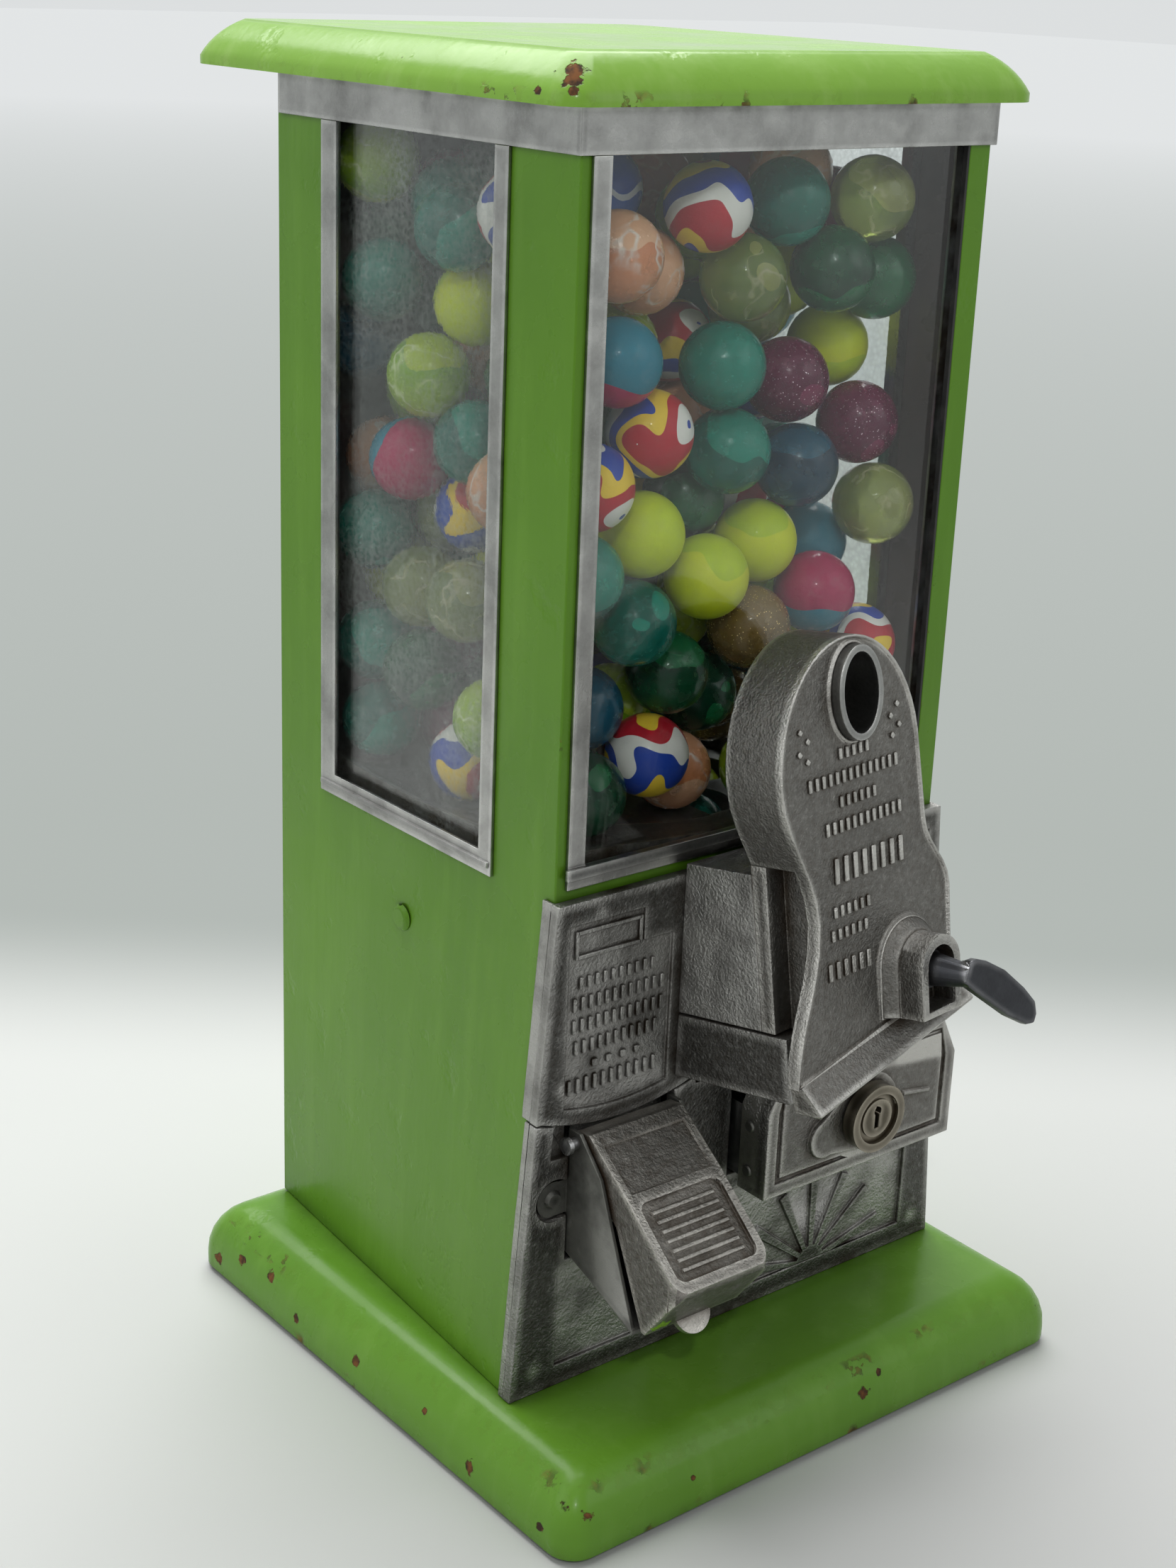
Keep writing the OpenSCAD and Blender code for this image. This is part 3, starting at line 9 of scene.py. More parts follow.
import json
import logging
import math
import random
from dataclasses import dataclass
from enum import Enum
from functools import cache
from typing import Any, Iterable, Mapping, Sequence

import bmesh
import bpy
from bmesh.types import BMesh, BMFace
from bpy.types import ID, Material, Node, NodeSocket, NodeTree, Object
from mathutils import Matrix, Vector
from mathutils.bvhtree import BVHTree

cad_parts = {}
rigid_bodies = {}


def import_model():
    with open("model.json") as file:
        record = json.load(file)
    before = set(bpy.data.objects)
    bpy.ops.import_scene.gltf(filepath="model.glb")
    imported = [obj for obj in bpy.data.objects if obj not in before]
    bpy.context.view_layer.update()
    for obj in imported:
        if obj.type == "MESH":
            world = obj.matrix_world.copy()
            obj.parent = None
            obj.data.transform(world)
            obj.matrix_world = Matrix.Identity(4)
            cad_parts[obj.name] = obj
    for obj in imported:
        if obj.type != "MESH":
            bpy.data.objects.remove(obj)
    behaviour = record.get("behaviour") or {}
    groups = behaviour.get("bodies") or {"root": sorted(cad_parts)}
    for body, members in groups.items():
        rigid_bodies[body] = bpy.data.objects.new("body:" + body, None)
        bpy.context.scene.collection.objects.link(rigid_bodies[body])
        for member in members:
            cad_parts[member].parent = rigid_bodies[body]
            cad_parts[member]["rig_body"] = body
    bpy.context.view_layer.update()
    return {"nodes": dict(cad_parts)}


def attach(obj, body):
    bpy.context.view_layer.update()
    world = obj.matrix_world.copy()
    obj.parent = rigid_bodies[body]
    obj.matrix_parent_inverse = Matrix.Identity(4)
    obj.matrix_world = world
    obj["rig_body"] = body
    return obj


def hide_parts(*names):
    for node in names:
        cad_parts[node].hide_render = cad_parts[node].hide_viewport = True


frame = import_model()

LOG = logging.getLogger("ball_machine")
MM = 0.001
DOUBLE_GAP = 2e-6  # points nearer than this are one
FLAT_ANGLE = math.radians(0.8)  # faces that meet at less are one flat
STRAY = 0.45  # share of a rounding's width past which a point has strayed
FLUTE_SINK = 0.98  # keeps raised bars a hair below the face round them
SHARP_ANGLE = 38.0  # degrees past which an edge stays sharp
QUARTER_TURN = math.radians(90)
UPRIGHT = Matrix.Rotation(QUARTER_TURN, 4, "X")
Colour = tuple[float, float, float]
Triple = tuple[float, float, float]
Spot = tuple[float, float, float, float]
Bars = tuple[tuple[float, float, float, float], ...]


class Bench:
    """A node tree with short calls that add nodes and join their sockets."""

    def __init__(self, tree: NodeTree) -> None:
        """Keeps the tree that the calls work on."""
        self.tree = tree

    def put(self, socket: NodeSocket, value: Any) -> None:
        """Joins a socket to an output, or sets its plain value.

        Args:
            socket: The input to feed.
            value: An output socket, a number, a colour or a vector.
        """
        if isinstance(value, NodeSocket):
            self.tree.links.new(value, socket)
        elif isinstance(value, tuple) and len(value) == 3 and socket.type == "RGBA":
            socket.default_value = (*value, 1.0)
        else:
            socket.default_value = value

    def add(self, kind: str, values: Mapping[str | int, Any] | None = None, **settings: Any) -> Node:
        """Adds a node.

        Args:
            kind: The node's type name.
            values: Inputs by name or number.
            **settings: The node's own settings.

        Returns:
            The new node.
        """
        node = self.tree.nodes.new(kind)
        for name, value in settings.items():
            setattr(node, name, value)
        self.feed(node, values or {})
        return node

    def feed(self, node: Node, values: Mapping[str | int, Any]) -> None:
        """Feeds several inputs of a node, each by its name or number."""
        for name, value in values.items():
            self.put(node.inputs[name], value)

    def mix(self, factor: Any, a: Any, b: Any) -> NodeSocket:
        """Mixes two colours, where the factor is the share of b."""
        return self.add("ShaderNodeMix", {0: factor, 6: a, 7: b}, data_type="RGBA").outputs[2]

    def sum(self, operation: str, a: Any, b: Any = 0.0, clamp: bool = False) -> NodeSocket:
        """Works out one step of arithmetic, held between 0 and 1 where clamp is set."""
        return self.add("ShaderNodeMath", {0: a, 1: b}, operation=operation, use_clamp=clamp).outputs[0]

    def times(self, a: Any, b: Any, clamp: bool = False) -> NodeSocket:
        """Multiplies two values."""
        return self.sum("MULTIPLY", a, b, clamp)

    def spread(self, value: Any, low: float, high: float, to_low: float = 0.0, to_high: float = 1.0) -> NodeSocket:
        """Stretches the range between low and high to the one between to_low and to_high, and clamps."""
        values = {"Value": value, "From Min": low, "From Max": high, "To Min": to_low, "To Max": to_high}
        return self.add("ShaderNodeMapRange", values).outputs[0]

    def noise(self, vector: Any, scale: Any, detail: float = 3.0, rough: float = 0.55) -> NodeSocket:
        """Returns a noise with as many finer layers as detail says, and as strong as rough says."""
        values = {"Vector": vector, "Scale": scale, "Detail": detail, "Roughness": rough}
        return self.add("ShaderNodeTexNoise", values).outputs[0]

    def place(self) -> NodeSocket:
        """Returns the piece's own coordinates."""
        return self.add("ShaderNodeTexCoord").outputs["Object"]

    def axes(self, vector: Any) -> Any:
        """Returns a vector's three parts, as outputs by their letter."""
        return self.add("ShaderNodeSeparateXYZ", {0: vector}).outputs

    def hollow(self, reach: float, inside: bool, gain: float) -> NodeSocket:
        """Finds recesses, or outer edges where inside is set, within a reach in metres."""
        node = self.add("ShaderNodeAmbientOcclusion", {"Distance": reach}, inside=inside, samples=5)
        return self.times(self.sum("SUBTRACT", 1.0, node.outputs["AO"]), gain, clamp=True)

    def group(self, tree: NodeTree, values: Mapping[str, Any]) -> Any:
        """Places a shader group with its inputs by name, and returns its outputs."""
        return self.add("ShaderNodeGroup", values, node_tree=tree).outputs

    def flecks(self, vector: Any, scale: float, start: float, soft: float) -> NodeSocket:
        """Scatters flecks where a noise is over start, with an edge as soft as soft says."""
        return self.group(fleck_group(), {"Vector": vector, "Scale": scale, "Start": start, "Soft": soft})[0]

    def bump(self, shader: Node, height: Any) -> None:
        """Feeds a height in metres to a shader's normal."""
        node = self.add("ShaderNodeBump", {"Height": height, "Strength": 1.0, "Distance": 1.0})
        self.put(shader.inputs["Normal"], node.outputs[0])

    def spots(self, place: NodeSocket, spots: Sequence[Spot]) -> NodeSocket:
        """Finds ragged spots at given places.

        Args:
            place: The piece's own coordinates.
            spots: Middle and radius of each spot in millimetres.

        Returns:
            A mask, 1 on the spots.
        """
        ragged = self.spread(self.noise(place, 420.0, 4.0), 0.25, 0.75, 0.45, 1.6)
        mask: Any = 0.0
        for x, y, z, size in spots:
            reach = self.add("ShaderNodeVectorMath", {0: place, 1: (x * MM, y * MM, z * MM)}, operation="DISTANCE")
            far = self.times(reach.outputs["Value"], ragged)
            mask = self.sum("MAXIMUM", mask, self.spread(far, size * MM, 0.82 * size * MM))
        return mask


def open_group(name: str, inputs: Mapping[str, Any], outputs: Mapping[str, str]) -> tuple[Bench, Any, Any]:
    """Opens a new group.

    Args:
        name: Name of the group.
        inputs: Default of each input: a number, a colour, or None for a vector.
        outputs: Kind of each output.

    Returns:
        The bench, the outputs of the input node and the output node.
    """
    tree = bpy.data.node_groups.new(name, "ShaderNodeTree")
    kinds = {type(None): "NodeSocketVector", float: "NodeSocketFloat", tuple: "NodeSocketColor"}
    for label, value in inputs.items():
        socket = tree.interface.new_socket(name=label, in_out="INPUT", socket_type=kinds[type(value)])
        if value is not None:
            socket.default_value = value
    for label, kind in outputs.items():
        tree.interface.new_socket(name=label, in_out="OUTPUT", socket_type="NodeSocket" + kind)
    bench = Bench(tree)
    return bench, bench.add("NodeGroupInput").outputs, bench.add("NodeGroupOutput")


@cache
def fleck_group() -> NodeTree:
    """Builds the group that scatters soft edged flecks.

    Returns:
        The group.
    """
    inputs = {"Vector": None, "Scale": 100.0, "Start": 0.6, "Soft": 0.05}
    b, i, o = open_group("fleck_mask", inputs, {"Mask": "Float"})
    over = b.sum("SUBTRACT", b.noise(i["Vector"], i["Scale"], 4.0, 0.62), i["Start"])
    b.put(o.inputs["Mask"], b.sum("DIVIDE", over, i["Soft"], clamp=True))
    return b.tree


@cache
def grain_group() -> NodeTree:
    """Builds the group that gives the height of a rough grain.

    Returns:
        The group.
    """
    inputs = {"Vector": None, "Scale": 900.0, "Height": 0.0001}
    b, i, o = open_group("grain_height", inputs, {"Height": "Float"})
    low = b.noise(i["Vector"], b.times(i["Scale"], 0.13), 2.0, 0.5)
    total = b.sum("ADD", b.noise(i["Vector"], i["Scale"], 3.0, 0.6), b.times(low, 0.9))
    b.put(o.inputs["Height"], b.times(total, i["Height"]))
    return b.tree


@cache
def streak_group() -> NodeTree:
    """Builds the group that draws fine streaks along one direction.

    Returns:
        The group.
    """
    inputs = {"Vector": None, "Stretch": None, "Scale": 600.0}
    b, i, o = open_group("streak_lines", inputs, {"Value": "Float"})
    drawn = b.add("ShaderNodeVectorMath", {0: i["Vector"], 1: i["Stretch"]}, operation="MULTIPLY")
    b.put(o.inputs["Value"], b.noise(drawn.outputs[0], i["Scale"], 3.0, 0.65))
    return b.tree


@cache
def wear_group() -> NodeTree:
    """Builds the group that lays worn edges, and grime with painted shade in recesses, over a base.

    Returns:
        The group.
    """
    inputs = {
        "Vector": None, "Base": (0.5, 0.5, 0.5, 1), "Edge": (0.8, 0.8, 0.8, 1), "Grime": (0.1, 0.08, 0.06, 1),
        "Edge Mask": 0.0, "Recess Mask": 0.0, "Patch Scale": 60.0, "Base Roughness": 0.4,
        "Edge Roughness": 0.3, "Grime Roughness": 0.8,
    }
    b, i, o = open_group("edge_and_grime", inputs, {"Color": "Color", "Roughness": "Float"})
    patch = b.spread(b.noise(i["Vector"], i["Patch Scale"], 4.0), 0.3, 0.68)
    edge = b.times(i["Edge Mask"], b.sum("ADD", patch, 0.35), clamp=True)
    # Recesses are darkened towards the grime colour: real grime, and painted shade.
    grime = b.times(i["Recess Mask"], b.sum("SUBTRACT", 1.25, patch), clamp=True)
    b.put(o.inputs["Color"], b.mix(grime, b.mix(edge, i["Base"], i["Edge"]), i["Grime"]))
    shine = b.add("ShaderNodeMix", {0: edge, 2: i["Base Roughness"], 3: i["Edge Roughness"]})
    dull = b.add("ShaderNodeMix", {0: grime, 2: shine.outputs[0], 3: i["Grime Roughness"]})
    b.put(o.inputs["Roughness"], dull.outputs[0])
    return b.tree


@cache
def swirl_group() -> NodeTree:
    """Builds the group that winds bands of value round a ball.

    Returns:
        The group.
    """
    inputs = {"Vector": None, "Turns": 1.0, "Wobble": 0.4}
    b, i, o = open_group("ball_swirl", inputs, {"Value": "Float", "Wisp": "Float"})
    wobble = b.times(b.noise(i["Vector"], 0.85, 0.4, 0.4), i["Wobble"])
    along = b.sum("ADD", b.times(b.axes(i["Vector"])["Z"], 0.5), wobble)
    b.put(o.inputs["Value"], b.sum("FRACT", b.times(b.sum("ADD", along, 8.0), i["Turns"])))
    wisp = b.noise(i["Vector"], 1.3, 2.0, 0.5)
    thread = b.spread(b.sum("ABSOLUTE", b.sum("SUBTRACT", wisp, 0.5)), 0.045, 0.0)
    part = b.spread(b.noise(i["Vector"], 0.9, 1.0), 0.45, 0.6)
    b.put(o.inputs["Wisp"], b.times(thread, part))
    return b.tree


def open_material(name: str) -> tuple[Material, Bench, Node, Node]:
    """Starts a material with an empty node tree.

    Args:
        name: The material's name.

    Returns:
        The material, its bench, its main shader and its output node.
    """
    material = bpy.data.materials.new(name)
    material.use_nodes = True
    material.node_tree.nodes.clear()
    bench = Bench(material.node_tree)
    output = bench.add("ShaderNodeOutputMaterial")
    shader = bench.add("ShaderNodeBsdfPrincipled")
    bench.put(output.inputs["Surface"], shader.outputs[0])
    return material, bench, shader, output


@dataclass(frozen=True)
class Metal:
    """A bare metal with worn edges, and grime with painted shade in its recesses."""

    name: str
    base: Colour
    edge: Colour
    grime: Colour
    rough: Triple
    grain: float
    grain_height: float
    stretch: Triple = (1.0, 1.0, 1.0)
    reach: float = 0.004
    grime_gain: float = 1.1
    edge_gain: float = 1.6
    patch: float = 70.0
    mottle: float = 0.0
    drops: tuple[Spot, ...] = ()
    drop_tone: Colour = (0.16, 0.32, 0.01)
    darker: float = 0.78
    lighter: float = 1.25
    streak_scale: float = 260.0

    def build(self) -> Material:
        """Builds the material.

        Returns:
            The finished material.
        """
        material, b, shader, _ = open_material(self.name)
        place = b.place()
        lines = b.group(streak_group(), {"Vector": place, "Stretch": self.stretch, "Scale": self.streak_scale})[0]
        dark = tuple(self.darker * c for c in self.base)
        light = tuple(min(1.0, self.lighter * c) for c in self.base)
        tone = b.mix(b.spread(b.noise(place, 22.0, 4.0), 0.3, 0.7), self.base, dark)
        tone = b.mix(b.spread(lines, 0.35, 0.7, 0.0, 0.45), tone, light)
        if self.mottle > 0:
            grains = b.noise(place, 0.45 * self.grain, 4.0, 0.7)
            tone = b.mix(b.spread(grains, 0.5, 0.38, 0.0, self.mottle), tone, self.grime)
            tone = b.mix(b.spread(grains, 0.56, 0.7, 0.0, 0.8 * self.mottle), tone, self.edge)
        worn = b.group(wear_group(), {
            "Vector": place, "Base": tone, "Edge": self.edge, "Grime": self.grime,
            "Edge Mask": b.hollow(self.reach * 0.5, True, self.edge_gain),
            # Recesses are darkened: grime, and painted shade.
            "Recess Mask": b.hollow(self.reach, False, self.grime_gain),
            "Patch Scale": self.patch, "Base Roughness": self.rough[0], "Edge Roughness": self.rough[1],
            "Grime Roughness": self.rough[2],
        })
        tone = worn["Color"]
        metallic: Any = 1.0
        if self.drops:
            painted = b.spots(place, self.drops)
            tone = b.mix(painted, tone, self.drop_tone)
            metallic = b.sum("SUBTRACT", 1.0, painted)
        dull = b.times(b.flecks(place, 140.0, 0.58, 0.1), 0.12)
        b.feed(shader, {
            "Metallic": metallic, "Base Color": tone, "Roughness": b.sum("ADD", worn["Roughness"], dull),
        })
        grain = b.group(grain_group(), {"Vector": place, "Scale": self.grain, "Height": self.grain_height})[0]
        b.bump(shader, b.sum("ADD", grain, b.times(lines, self.grain_height * 0.4)))
        return material


@dataclass(frozen=True)
class Enamel:
    """A brushed on gloss enamel with chips down to the dark iron, and painted shade in its recesses and, where inner
    is set, on the inner faces of the case.
    """

    name: str
    base: Colour
    deep: Colour
    pale: Colour
    chip: Colour = (0.05, 0.03, 0.018)
    rust: Colour = (0.22, 0.09, 0.03)
    chip_start: float = 0.6
    rough: float = 0.26
    edge_reach: float = 0.004
    inner: tuple[float, float] | None = None
    primer: Colour = (0.045, 0.028, 0.026)
    coat: float = 0.08
    spots: tuple[Spot, ...] = ()
    dirt_reach: float = 0.007
    peel_height: float = 0.00009
    brush_height: float = 0.00016
    dent_depth: float = 0.0002
    chip_depth: float = 0.00035

    def build(self) -> Material:
        """Builds the material.

        Returns:
            The finished material.
        """
        material, b, shader, _ = open_material(self.name)
        place = b.place()
        brush = b.group(streak_group(), {"Vector": place, "Stretch": (1.0, 1.0, 0.12), "Scale": 90.0})[0]
        tone = b.mix(b.spread(b.noise(place, 9.0, 4.0), 0.32, 0.7), self.base, self.deep)
        tone = b.mix(b.spread(brush, 0.5, 0.8, 0.0, 0.35), tone, self.pale)
        edge = b.hollow(self.edge_reach, True, 2.4)
        often = b.times(edge, b.sum("ADD", b.flecks(place, 34.0, 0.56, 0.05), 0.1))
        chips = b.times(b.flecks(place, 210.0, self.chip_start, 0.02), often, clamp=True)
        chips = b.sum("MAXIMUM", chips, b.flecks(place, 120.0, 0.765, 0.012))
        if self.spots:
            chips = b.sum("MAXIMUM", chips, b.spots(place, self.spots))
        iron = b.mix(b.spread(b.noise(place, 400.0, 2.0), 0.4, 0.65), self.chip, self.rust)
        # Recesses are darkened to a deep tone of the paint itself: painted shade.
        uneven = b.spread(b.noise(place, 60.0), 0.3, 0.6, 0.45, 1.0)
        painted_shade = b.times(b.hollow(self.dirt_reach, False, 1.0), uneven)
        tone = b.mix(painted_shade, tone, tuple(0.22 * c for c in self.deep))
        if self.inner is not None:  # faces this near to the middle are inner ones
            axes = b.axes(place)
            wide, deep = (
                b.sum("LESS_THAN", b.sum("ABSOLUTE", axes[k]), half * MM) for k, half in zip("XY", self.inner)
            )
            # The inner faces of the case are painted a dark brown: painted shade.
            tone = b.mix(b.times(wide, deep), tone, self.primer)
        cloud = b.spread(b.noise(place, 30.0, 5.0), 0.3, 0.75, self.rough - 0.05, self.rough + 0.16)
        b.feed(shader, {
            "Base Color": b.mix(chips, tone, iron),
            "Roughness": b.sum("MAXIMUM", cloud, b.times(chips, 0.85)),
            "Coat Weight": b.sum("SUBTRACT", self.coat, chips, clamp=True),
            "Coat Roughness": 0.12, "Specular IOR Level": 0.24,
        })
        peel = b.group(grain_group(), {"Vector": place, "Scale": 190.0, "Height": self.peel_height})[0]
        height = b.sum("ADD", peel, b.times(brush, self.brush_height))
        height = b.sum("ADD", height, b.times(b.flecks(place, 55.0, 0.62, 0.12), -self.dent_depth))
        b.bump(shader, b.sum("SUBTRACT", height, b.times(chips, self.chip_depth)))
        return material


@dataclass(frozen=True)
class Pane:
    """Window glass with a film of dust, thicker at its lower edge."""

    name: str
    haze: float
    ripple: float
    low_z: float
    shine: float = 0.2
    low_band: float = 0.04

    def build(self) -> Material:
        """Builds the material, which lets lamp light through.

        Returns:
            The finished material.
        """
        material, b, shader, output = open_material(self.name)
        place = b.place()
        low = b.spread(b.axes(place)["Z"], self.low_z, self.low_z + self.low_band, 1.0, 0.25)
        dust = b.times(b.spread(b.noise(place, 70.0, 6.0, 0.7), 0.38, 0.75), low)
        specks = b.times(b.flecks(place, 700.0, 0.62, 0.05), self.haze * 0.5)
        film = b.sum("MAXIMUM", b.times(dust, self.haze), specks)
        b.feed(shader, {
            "Base Color": b.mix(film, (0.93, 0.96, 0.95), (0.6, 0.6, 0.57)),
            "Roughness": b.spread(film, 0.0, 1.0, 0.02, 0.4),
            "Transmission Weight": 1.0, "IOR": 1.45, "Specular IOR Level": self.shine,
        })
        b.bump(shader, b.times(b.noise(place, 420.0, 3.0), self.ripple))
        clear = b.add("ShaderNodeBsdfTransparent", {"Color": (0.9, 0.93, 0.92)})
        shadow = b.add("ShaderNodeLightPath").outputs["Is Shadow Ray"]
        shown = b.add("ShaderNodeMixShader", {0: shadow, 1: shader.outputs[0], 2: clear.outputs[0]})
        b.put(output.inputs["Surface"], shown.outputs[0])
        return material


@dataclass(frozen=True)
class DustFilm:
    """A pebbled film of dust on the inner face of a pane, clear between its grains."""

    name: str
    strength: float
    tone: Colour = (0.42, 0.43, 0.41)
    light_tone: Colour = (0.55, 0.55, 0.52)
    pebble_scale: float = 620.0
    pebble_height: float = 0.0002

    def build(self) -> Material:
        """Builds the material.

        Returns:
            The finished material.
        """
        material, b, shader, _ = open_material(self.name)
        place = b.place()
        cells = b.add("ShaderNodeTexVoronoi", {"Vector": place, "Scale": self.pebble_scale, "Randomness": 0.8})
        pebble = b.spread(cells.outputs["Distance"], 0.1, 0.75)
        cloud = b.spread(b.noise(place, 26.0, 5.0), 0.32, 0.72, 0.35, 1.0)
        run = b.group(streak_group(), {"Vector": place, "Stretch": (1.0, 1.0, 0.1), "Scale": 130.0})[0]
        film = b.times(b.times(pebble, cloud), b.spread(run, 0.45, 0.75, 0.6, 1.2))
        b.feed(shader, {
            "Base Color": b.mix(cloud, self.tone, self.light_tone),
            "Roughness": b.spread(pebble, 0.0, 1.0, 0.5, 0.9),
            "Alpha": b.times(film, self.strength, clamp=True),
        })
        b.bump(shader, b.times(pebble, self.pebble_height))
        return material


@dataclass(frozen=True)
class Rubber:
    """A matte black rubber with a dusty bloom."""

    name: str
    base: Colour = (0.02, 0.02, 0.02)
    bloom_tone: Colour = (0.09, 0.085, 0.08)
    grain_height: float = 0.00008

    def build(self) -> Material:
        """Builds the material.

        Returns:
            The finished material.
        """
        material, b, shader, _ = open_material(self.name)
        place = b.place()
        bloom = b.spread(b.noise(place, 180.0, 5.0), 0.4, 0.8, 0.0, 0.5)
        b.feed(shader, {
            "Base Color": b.mix(bloom, self.base, self.bloom_tone),
            "Roughness": b.spread(bloom, 0.0, 0.5, 0.6, 0.9),
        })
        b.bump(shader, b.times(b.noise(place, 1500.0, 2.0), self.grain_height))
        return material


class BallLook(Enum):
    """The kinds of ball in the hopper."""

    TEAL = "teal"
    GREEN = "green"
    LIME = "lime"
    YELLOW = "yellow"
    HALVES = "halves"
    FLAG = "flag"
    BLUE_WHITE = "blue_white"
    GOLD = "gold"
    PLUM = "plum"
    CLEAR = "clear"
    PEACH = "peach"
    NAVY = "navy"
    CORAL = "coral"


@dataclass(frozen=True)
class BallFinish:
    """The material of one kind of ball: bands, wisps and glitter in a body colour."""

    look: BallLook
    bands: tuple[tuple[float, Colour], ...]
    turns: float = 1.0
    wobble: float = 0.5
    wisp: Colour | None = None
    glitter: Colour | None = None
    clear: float = 0.0
    rough: float = 0.22
    glitter_scale: float = 21.0
    scuff_tone: Colour = (0.3, 0.28, 0.22)
    wave_height: float = 0.0002

    @property
    def name(self) -> str:
        """Returns the material's name."""
        return "ball_" + self.look.value

    def build(self) -> Material:
        """Builds the material, which reads each ball's own coordinates.

        Returns:
            The finished material.
        """
        material, b, shader, _ = open_material(self.name)
        own = b.add("ShaderNodeAttribute", attribute_name="ball_place").outputs["Vector"]
        swirl = b.group(swirl_group(), {"Vector": own, "Turns": self.turns, "Wobble": self.wobble})
        ramp = b.add("ShaderNodeValToRGB", {"Fac": swirl["Value"]})
        ramp.color_ramp.interpolation = "CONSTANT" if len(self.bands) > 2 else "LINEAR"
        elements = ramp.color_ramp.elements
        while len(elements) < len(self.bands):
            elements.new(0.5)
        for element, (start, colour) in zip(elements, self.bands):
            element.position = start
            element.color = (*colour, 1.0)
        tone: Any = ramp.outputs[0]
        rough: Any = self.rough
        if self.wisp is not None:
            tone = b.mix(b.times(swirl["Wisp"], 0.85), tone, self.wisp)
        if self.glitter is not None:
            cells = b.add("ShaderNodeTexVoronoi", {"Vector": own, "Scale": self.glitter_scale})
            pick = b.add("ShaderNodeSeparateColor", {0: cells.outputs["Color"]})
            middle = b.sum("LESS_THAN", cells.outputs["Distance"], 0.3)
            grain = b.times(b.sum("GREATER_THAN", pick.outputs[0], 0.8), middle)
            tone = b.mix(grain, tone, self.glitter)
            b.put(shader.inputs["Metallic"], b.times(grain, 0.8))
            rough = b.spread(grain, 0.0, 1.0, self.rough, 0.35)
        scuff = b.flecks(own, 3.0, 0.52, 0.2)
        b.feed(shader, {
            "Base Color": b.mix(b.times(scuff, 0.08), tone, self.scuff_tone),
            "Roughness": b.sum("ADD", rough, b.times(scuff, 0.15)),
            "Transmission Weight": self.clear, "IOR": 1.42, "Specular IOR Level": 0.16,
            "Coat Weight": 0.22, "Coat Roughness": 0.05,
        })
        b.bump(shader, b.times(b.noise(own, 5.0, 3.0), self.wave_height))
        return material


Finish = Metal | Enamel | Pane | DustFilm | Rubber | BallFinish

# The third colour of each metal is its grime colour, which also paints shade into its recesses.
CAST = Metal(
    "cast_aluminium", (0.165, 0.16, 0.148), (0.5, 0.49, 0.46), (0.056, 0.04, 0.026), (0.4, 0.3, 0.75),
    1250.0, 0.00042, reach=0.005, grime_gain=2.0, edge_gain=2.6, mottle=0.25,
)
# A darker copy of the cast aluminium for the front plates and the mechanism housing: painted shade in its base
# colour, with more grime.
SHADED_PLATE = Metal(
    "plate_aluminium", (0.095, 0.093, 0.086), (0.4, 0.395, 0.375), (0.036, 0.027, 0.019), (0.46, 0.34, 0.8),
    1100.0, 0.00045, reach=0.006, grime_gain=2.4, edge_gain=2.4, mottle=0.4,
)
FLAP = Metal(
    "flap_aluminium", (0.18, 0.172, 0.156), (0.5, 0.48, 0.44), (0.062, 0.044, 0.029), (0.46, 0.36, 0.8),
    1000.0, 0.00045, reach=0.005, grime_gain=2.6, edge_gain=2.8, mottle=0.34,
    drops=((-63.4, -111.0, 60.7, 2.6), (-60.6, -110.8, 60.2, 1.9)),
)
STRIP = Metal(
    "bright_aluminium", (0.2, 0.2, 0.194), (0.54, 0.54, 0.52), (0.06, 0.052, 0.044), (0.34, 0.24, 0.6),
    2600.0, 0.00005, stretch=(1.0, 1.0, 0.08), reach=0.003, grime_gain=1.0, mottle=0.2,
)
SHEET = Metal(
    "sheet_aluminium", (0.042, 0.042, 0.038), (0.22, 0.22, 0.2), (0.022, 0.018, 0.013), (0.62, 0.45, 0.8),
    1800.0, 0.00006, stretch=(0.3, 1.0, 1.0), reach=0.004, mottle=0.3,
)
STEEL = Metal(
    "plain_steel", (0.22, 0.22, 0.225), (0.45, 0.45, 0.45), (0.06, 0.045, 0.035), (0.35, 0.25, 0.7),
    1500.0, 0.00004,
)
BLACK_STEEL = Metal(
    "black_steel", (0.055, 0.057, 0.063), (0.3, 0.3, 0.31), (0.02, 0.018, 0.016), (0.42, 0.26, 0.7),
    1500.0, 0.00005, edge_gain=1.2,
)
BRASS = Metal(
    "plain_brass", (0.5, 0.37, 0.15), (0.8, 0.66, 0.35), (0.1, 0.06, 0.02), (0.32, 0.22, 0.7), 1500.0, 0.00003
)
LOCK = Metal(
    "lock_nickel", (0.1, 0.088, 0.066), (0.34, 0.31, 0.25), (0.07, 0.05, 0.03), (0.34, 0.24, 0.7), 1500.0, 0.00003
)
GREEN = Enamel(
    "green_enamel", (0.135, 0.315, 0.018), (0.105, 0.26, 0.014), (0.2, 0.41, 0.045), edge_reach=0.0012,
    inner=(73.2, 69.8),
)
LID_GREEN = Enamel(
    "lid_enamel", (0.27, 0.52, 0.06), (0.22, 0.45, 0.045), (0.44, 0.68, 0.2), chip_start=0.56, rough=0.2,
    spots=(
        (-78.8, -72.9, 397.6, 3.0), (-80.6, -74.2, 395.2, 2.6), (-81.7, -76.0, 393.0, 1.6),
        (-84.2, -66.0, 392.0, 1.2),
    ),
)
